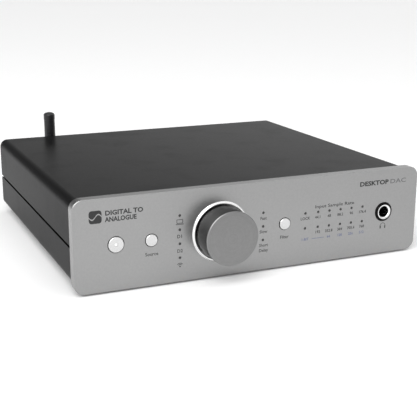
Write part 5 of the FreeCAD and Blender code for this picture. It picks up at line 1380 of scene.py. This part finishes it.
@dataclass
class VolumeKnob:
    """The turned knob with its hub and shaft, the trim ring and the encoder behind them."""

    skin: float = 2.0 * MM
    face_wall: float = 3.0 * MM
    chamfer: float = 0.4 * MM
    ring_width: float = 1.6 * MM
    ring_seat: float = 0.75 * MM
    ring_slope: float = 0.9 * MM
    ring_corner: float = 0.25 * MM
    colour: Colour = (0.22, 0.22, 0.22)

    def cap(self) -> None:
        """Builds the knob."""
        knob = RoundNode.measured("knob_cap")
        edge, inner = knob.radius - self.chamfer, knob.radius - self.skin
        shoulder, inside = knob.front + self.chamfer, knob.front + self.face_wall
        outline = [(0.0, knob.front), (edge, knob.front), (knob.radius, shoulder),
                   (knob.radius, knob.back - self.chamfer), (edge, knob.back), (inner, knob.back),
                   (inner, inside), (0.0, inside)]
        # The knob's finish darkens its side to 0.45 of the face as painted shade, and paints a
        # highlight along its chamfers.
        finish = TurnedMetal("knob_turned_aluminium", self.colour, 0.3, metallic=1.0,
                             grain_size=0.16 * MM, grain_depth=0.004 * MM, tone=0.04, gloss=0.03,
                             edge_radius=0.25 * MM, painted_edge_light=1.5, line_share=0.5,
                             centre=(knob.centre[0], 0.0, knob.centre[1]), face_y=shoulder,
                             painted_side_shade=0.45)
        mesh = turned_mesh("knob", Axis.Y, knob.centre, softened(outline, 0.1 * MM), 192)
        add_piece("volume_knob", mesh, finish, "knob", ["knob_cap"])

    def ring(self) -> None:
        """Builds the trim ring."""
        ring = RoundNode.measured("knob_trim_ring")
        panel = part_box("front_panel")[0].y
        outer, corner = ring.radius, self.ring_corner
        inner, seat = outer - self.ring_width, outer - self.ring_seat
        outline = [(seat, panel), (seat, ring.back), (inner, ring.back), (inner, ring.front + corner),
                   (inner + corner, ring.front), (outer - self.ring_slope, ring.front),
                   (outer, panel - corner), (outer, panel), (seat, panel)]
        mesh = turned_mesh("ring", Axis.Y, ring.centre, softened(outline, 0.09 * MM)[:-1], 192)
        add_piece("trim_ring", mesh, RING_CHROME, "case", ["knob_trim_ring"])

    def build(self) -> None:
        """Builds the knob and the ring and dresses what is behind them."""
        self.cap()
        self.ring()
        dress(BLACK_PLASTIC, "knob_hub", "encoder_body")
        dress(ZINC, "encoder_shaft")
        dress(NICKEL, "encoder_nut")


@dataclass
class PushButtons:
    """The three push buttons with dished faces, the power lamp's lens and their switches."""

    dish: float = 0.14 * MM
    collar: float = 1.2 * MM
    collar_rim: float = 1.0 * MM
    collar_depth: float = 2.45 * MM
    stem: float = 1.6 * MM
    lamp_hole: float = 0.95 * MM

    def button(self, node: str) -> None:
        """Builds a button with a dished face.

        Args:
            node: the frame's node and body for the button.
        """
        button = RoundNode.measured(node)
        wide, face = button.radius, button.front
        radius = wide - self.collar_rim
        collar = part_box("front_panel")[1].y - self.collar_depth
        hole = self.lamp_hole if node == "power_button" else 0.0
        outline = [(hole, face + self.dish), (radius * 0.45, face + self.dish * 0.8),
                   (radius - 0.6 * MM, face + 0.02 * MM), (radius - 0.3 * MM, face),
                   (radius, face + 0.3 * MM), (radius, collar), (wide, collar),
                   (wide, collar + self.collar), (self.stem, collar + self.collar),
                   (self.stem, button.back), (0.0, button.back)]
        if hole:
            outline += [(0.0, collar + 1.0 * MM), (hole, collar + 1.0 * MM), outline[0]]
        rounded = softened(outline, 0.12 * MM)
        mesh = turned_mesh(node, Axis.Y, button.centre, rounded[:-1] if hole else rounded, 96)
        add_piece(f"{node}_cap", mesh, BRIGHT_BUTTON, node, [node])

    def lens(self) -> None:
        """Builds the domed lens in the power button."""
        lens = RoundNode.measured("power_lens")
        outline = [(0.0, lens.front), (lens.radius * 0.6, lens.front + 0.03 * MM),
                   (lens.radius, lens.front + 0.25 * MM), (lens.radius, lens.back), (0.0, lens.back)]
        mesh = turned_mesh("lens", Axis.Y, lens.centre, softened(outline, 0.15 * MM), 48)
        add_piece("power_lamp_lens", mesh, CLEAR_WHITE, "power_button", ["power_lens"])

    def build(self) -> None:
        """Builds the buttons and the lens and dresses the switches."""
        for node in ("power_button", "source_button", "filter_button"):
            self.button(node)
        self.lens()
        dress(DARK_PLASTIC, "button_switches")


@dataclass
class Indicators:
    """The light pipes behind the dots and the lamps that feed them."""

    def build(self) -> None:
        """Dresses the pipes and the lamps."""
        dress(SMOKED, "light_pipes")
        dress(LAMP, "indicator_lights")


@dataclass
class HeadphoneSocket:
    """The bright bushing in its dark collar, the housing and the contacts. The collar's dark colour
    reaches over the crest's outer edge as painted shade.
    """

    mouth: float = 3.75 * MM
    bore: float = 3.3 * MM
    crest: float = 4.75 * MM
    neck: float = 4.9 * MM

    def build(self) -> None:
        """Builds the bushing and dresses the rest."""
        bushing = RoundNode.measured("phones_bushing")
        face, back, panel = bushing.front, bushing.back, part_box("front_panel")[0].y
        outline = [(self.bore, back), (self.bore, face + 0.6 * MM), (self.mouth, face + 0.12 * MM),
                   (self.mouth + 0.35 * MM, face), (self.crest - 0.2 * MM, face),
                   (self.crest, face + 0.25 * MM), (bushing.radius, panel), (self.neck, panel),
                   (self.neck, back), (self.bore, back)]
        finish = BandedSocket("phones_bushing_metal", (0.86, 0.86, 0.86), 0.14, metallic=1.0,
                              grain_size=0.4 * MM, grain_depth=0.0008 * MM, tone=0.03,
                              centre=(bushing.centre[0], 0.0, bushing.centre[1]))
        mesh = turned_mesh("bushing", Axis.Y, bushing.centre, softened(outline, 0.12 * MM)[:-1], 96)
        add_piece("headphone_bushing", mesh, finish, "case", ["phones_bushing"])
        dress(BLACK_PLASTIC, "phones_housing")
        dress(TIN, "phones_contacts")


@dataclass
class Boards:
    """The front and main boards and everything that stands on them."""

    patches: tuple[tuple[float, float, float, float, int], ...] = (
        (-34.0, 0.0, 14.0, 80.0, 3), (45.5, 5.0, 9.0, 90.0, 5), (-50.0, -48.0, 50.0, 22.0, 8))
    gap: float = 3.2 * MM

    def passives(self) -> None:
        """Builds the small parts scattered on free patches of the main board."""
        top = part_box("main_board")[1].z
        parts = []
        for x, y, width, depth, seed in self.patches:
            mesh = SCATTER.mesh("passives", PART_TAN, width=width * MM, depth=depth * MM,
                                gap=self.gap, seed=seed)
            mesh.transform(Matrix.Translation((x * MM, y * MM, top + PASSIVE_SIZE[2] / 2)))
            parts.append(mesh)
        add_piece("board_passives", joined_mesh("board_passives", parts), PART_TAN, "case")

    def build(self) -> None:
        """Dresses the boards' parts and builds the small ones."""
        dress(BOARD_GREEN, "main_board", "front_board")
        dress(NICKEL, "board_pillars")
        dress(CABLE_GREY, "ribbon_cable")
        dress(CREAM_PLASTIC, "ribbon_sockets")
        dress(CAN_SLEEVE, "electrolytic_capacitors")
        dress(FILM_RED, "film_capacitors")
        dress(DARK_PLASTIC, "output_relays", "voltage_regulators")
        dress(CHIP_BLACK, "circuit_chips")
        dress(SINK_BLACK, "heat_sink")
        dress(TIN, "radio_module")
        dress(RUBBER, "antenna_lead")
        self.passives()


@dataclass
class RearSockets:
    """The rear panel's sockets: balanced, phono, optical, computer and power."""

    def build(self) -> None:
        """Dresses the sockets."""
        dress(BLACK_PLASTIC, "balanced_output_shells", "phono_blocks", "optical_housings",
              "power_inlet_body", "usb_insulator")
        dress(SILVER, "balanced_output_contacts")
        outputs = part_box("phono_insulators")
        rings = KeyedPlastic("phono_ring_plastic", (0.02, 0.02, 0.02), 0.3, grain_size=0.2 * MM,
                             tone=0.05, coat=0.2, split_x=3 * MM,
                             split_z=(outputs[0].z + outputs[1].z) / 2)
        dress(rings, "phono_insulators")
        dress(GOLD, "phono_shells", "phono_centres")
        dress(DARK_PLASTIC, "optical_shutter_one", "optical_shutter_two")
        dress(NICKEL, "usb_shell", "power_inlet_pin")


@dataclass
class Antenna:
    """The socket, the knurled nut, the knuckle and the ringed mast of the antenna."""

    ribs: int = 44
    rib_depth: float = 0.35 * MM
    rib_width: float = 0.34 * MM
    rib_share: float = 0.72
    nut_bore: float = 3.15 * MM
    nut_end: float = 0.9 * MM
    rings: int = 9
    ring_pitch: float = 2.6 * MM
    ring_bead: float = 0.14 * MM
    rings_below_top: float = 29.0 * MM

    def nut(self) -> None:
        """Builds the knurled nut: a turned core and a row of ribs."""
        nut = RoundNode.measured("antenna_nut")
        core, bore, face, back = nut.radius - self.rib_depth, self.nut_bore, nut.front, nut.back
        outline = [(bore, face), (core - 0.3 * MM, face), (core, face + 0.4 * MM),
                   (core, back - 0.5 * MM), (core - 0.5 * MM, back), (0.0, back),
                   (0.0, back - self.nut_end), (bore, back - self.nut_end), (bore, face)]
        body = turned_mesh("nut_core", Axis.Y, nut.centre, softened(outline, 0.15 * MM)[:-1], 96)
        row = RIBS.mesh("nut_ribs", BLACK_SCREW, count=self.ribs, radius=core,
                        depth=self.rib_depth * 1.9, width=self.rib_width,
                        length=(back - face) * self.rib_share)
        middle = Vector((nut.centre[0], (face + back) / 2 - 0.2 * MM, nut.centre[1]))
        row.transform(Matrix.Translation(middle) @ Matrix.Rotation(math.radians(90), 4, "X"))
        mesh = joined_mesh("antenna_knurled_nut", [body, row])
        add_piece("antenna_knurled_nut", mesh, BLACK_SCREW, "case", ["antenna_nut"])

    def mast(self) -> None:
        """Builds the fine beads round the mast."""
        low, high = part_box("antenna_mast")
        middle = (low + high) / 2
        radius = (high.x - low.x) / 2 - 0.08 * MM
        mesh = RINGS.mesh("mast_rings", MAST_RUBBER, count=self.rings, pitch=self.ring_pitch,
                          radius=radius - self.ring_bead * 0.9, bead=self.ring_bead)
        mesh.transform(Matrix.Translation((middle.x, middle.y, high.z - self.rings_below_top)))
        mesh.shade_smooth()
        add_piece("antenna_mast_rings", mesh, MAST_RUBBER, "antenna_mast")

    def build(self) -> None:
        """Builds and dresses the antenna."""
        self.nut()
        self.mast()
        dress(MAST_RUBBER, "antenna_mast", "antenna_knuckle")
        dress(GOLD, "antenna_socket", "antenna_lock_nut")
        dress(ZINC, "antenna_hinge_pin")


# ---- studio


@dataclass
class Studio:
    """The camera, the pale floor, the sky and the soft light."""

    eye: Point3 = (-221.34, -436.65, 170.22)
    yaw: float = 0.4118
    pitch: float = -0.2665
    roll: float = 0.0026
    lens: float = 77.84
    floor_size: float = 40.0
    floor_colour: Colour = (0.93, 0.93, 0.93)
    tent: float = 1.15
    rear_left: float = 0.3
    rear_right: float = 1.5
    front: float = 0.45
    flag: float = 0.03
    rear_band: Point2 = (0.3, 0.62)
    side_band: Point2 = (-0.1, 0.65)
    flag_foot: Point2 = (0.29, 0.36)
    flag_top: Point2 = (0.6, 0.85)
    front_band: Point2 = (-0.62, -0.2)
    right_band: Point2 = (-0.45, 0.0)
    front_top: Point2 = (0.35, 0.6)
    key_place: Point3 = (-0.75, -0.9, 0.95)
    key_aim: Point3 = (-0.25, -0.15, 0.0)
    key_size: float = 1.5
    key_power: float = 15.0

    def camera(self) -> None:
        """Adds the camera, placed from the front panel's lower middle."""
        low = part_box("front_panel")[0]
        data = bpy.data.cameras.new("camera")
        data.lens = self.lens
        data.sensor_width = 36.0
        data.clip_start, data.clip_end = 0.01, 100.0
        level = Vector((math.sin(self.yaw), math.cos(self.yaw), 0.0))
        ahead = level * math.cos(self.pitch) + Vector((0.0, 0.0, math.sin(self.pitch)))
        right = Vector((math.cos(self.yaw), -math.sin(self.yaw), 0.0))
        up = right.cross(ahead)
        turned_right = right * math.cos(self.roll) + up * math.sin(self.roll)
        turned_up = up * math.cos(self.roll) - right * math.sin(self.roll)
        turn = Matrix((turned_right, turned_up, -ahead)).transposed().to_4x4()
        camera = placed("camera", data)
        place = Vector(self.eye) * MM + Vector((0.0, low.y, low.z))
        camera.matrix_world = Matrix.Translation(place) @ turn
        bpy.context.scene.camera = camera

    def floor(self) -> None:
        """Adds the floor."""
        bm = bmesh.new()
        bmesh.ops.create_grid(bm, x_segments=1, y_segments=1, size=self.floor_size / 2)
        mesh = finished_mesh("floor", bm, smooth=False)
        paint = Finish("floor_pale_paper", self.floor_colour, 0.9, grain_size=2.0 * MM,
                       grain_depth=0.01 * MM, tone=0.004, gloss=0.02, wear=0.0, specular=0.1)
        mesh.materials.append(paint.material())
        placed("floor", mesh)

    def sky(self) -> None:
        """Adds a white tent with a dimmer lower rear and a dark flag above it."""
        world = bpy.data.worlds.new("sky")
        world.use_nodes = True
        sheet = Sheet(world.node_tree)
        sheet.tree.nodes.clear()
        way = sheet.add("ShaderNodeTexCoord").outputs["Generated"]
        across, back, rise = sheet.add("ShaderNodeSeparateXYZ", {0: way}).outputs
        rear = sheet.spread(back, *self.rear_band, 0.0, 1.0)
        low = sheet.spread(across, *self.side_band, self.rear_left, self.rear_right)
        flag = sheet.math("MULTIPLY", sheet.spread(rise, *self.flag_foot, 0.0, 1.0),
                          sheet.spread(rise, *self.flag_top, 1.0, 0.0))
        above = sheet.spread(rise, *self.flag_top, 0.0, 1.0)
        level = sheet.math("MULTIPLY", low, sheet.math("SUBTRACT", 1.0, flag))
        level = sheet.math("MULTIPLY_ADD", flag, self.flag, level)
        level = sheet.math("MAXIMUM", level, sheet.math("MULTIPLY", above, self.tent))
        change = sheet.math("MULTIPLY", sheet.math("SUBTRACT", level, self.tent), rear)
        strength = sheet.math("ADD", change, self.tent)
        front = sheet.math("MULTIPLY", sheet.spread(back, *self.front_band, 1.0, 0.0),
                           sheet.spread(across, *self.right_band, 0.0, 1.0))
        front = sheet.math("MULTIPLY", front, sheet.spread(rise, *self.front_top, 1.0, 0.0))
        strength = sheet.math("MULTIPLY_ADD", front, self.front - self.tent, strength)
        graded = sheet.add("ShaderNodeBackground", {"Color": (1.0, 1.0, 1.0, 1.0),
                                                    "Strength": strength})
        pale = sheet.add("ShaderNodeBackground", {"Color": (1.0, 1.0, 1.0, 1.0), "Strength": 1.0})
        seen = sheet.add("ShaderNodeLightPath").outputs["Is Camera Ray"]
        both = sheet.add("ShaderNodeMixShader", {0: seen, 1: graded.outputs[0], 2: pale.outputs[0]})
        sheet.add("ShaderNodeOutputWorld", {"Surface": both.outputs[0]})
        bpy.context.scene.world = world

    def light(self) -> None:
        """Adds the key light, a large soft disc at the upper left of the front."""
        data = bpy.data.lights.new("key", "AREA")
        data.shape = "DISK"
        data.size = self.key_size
        data.energy = self.key_power
        key = placed("key", data)
        place = Vector(self.key_place)
        turn = (place - Vector(self.key_aim)).to_track_quat("Z", "Y")
        key.matrix_world = Matrix.Translation(place) @ turn.to_matrix().to_4x4()

    def build(self) -> None:
        """Builds the studio."""
        bpy.context.scene.view_settings.view_transform = "Standard"
        self.camera()
        self.floor()
        self.sky()
        self.light()


def main() -> None:
    """Builds every sub-assembly in order."""
    logging.basicConfig(level=logging.INFO, format="%(name)s: %(message)s")
    parts = (Studio(), Enclosure(), VolumeKnob(), PushButtons(), Indicators(), HeadphoneSocket(),
             Boards(), RearSockets(), Antenna(), FrontPrinting(), RearPrinting())
    for part in parts:
        LOG.info("%s", type(part).__name__)
        part.build()
    bpy.context.view_layer.update()


if __name__ == "__main__":
    main()
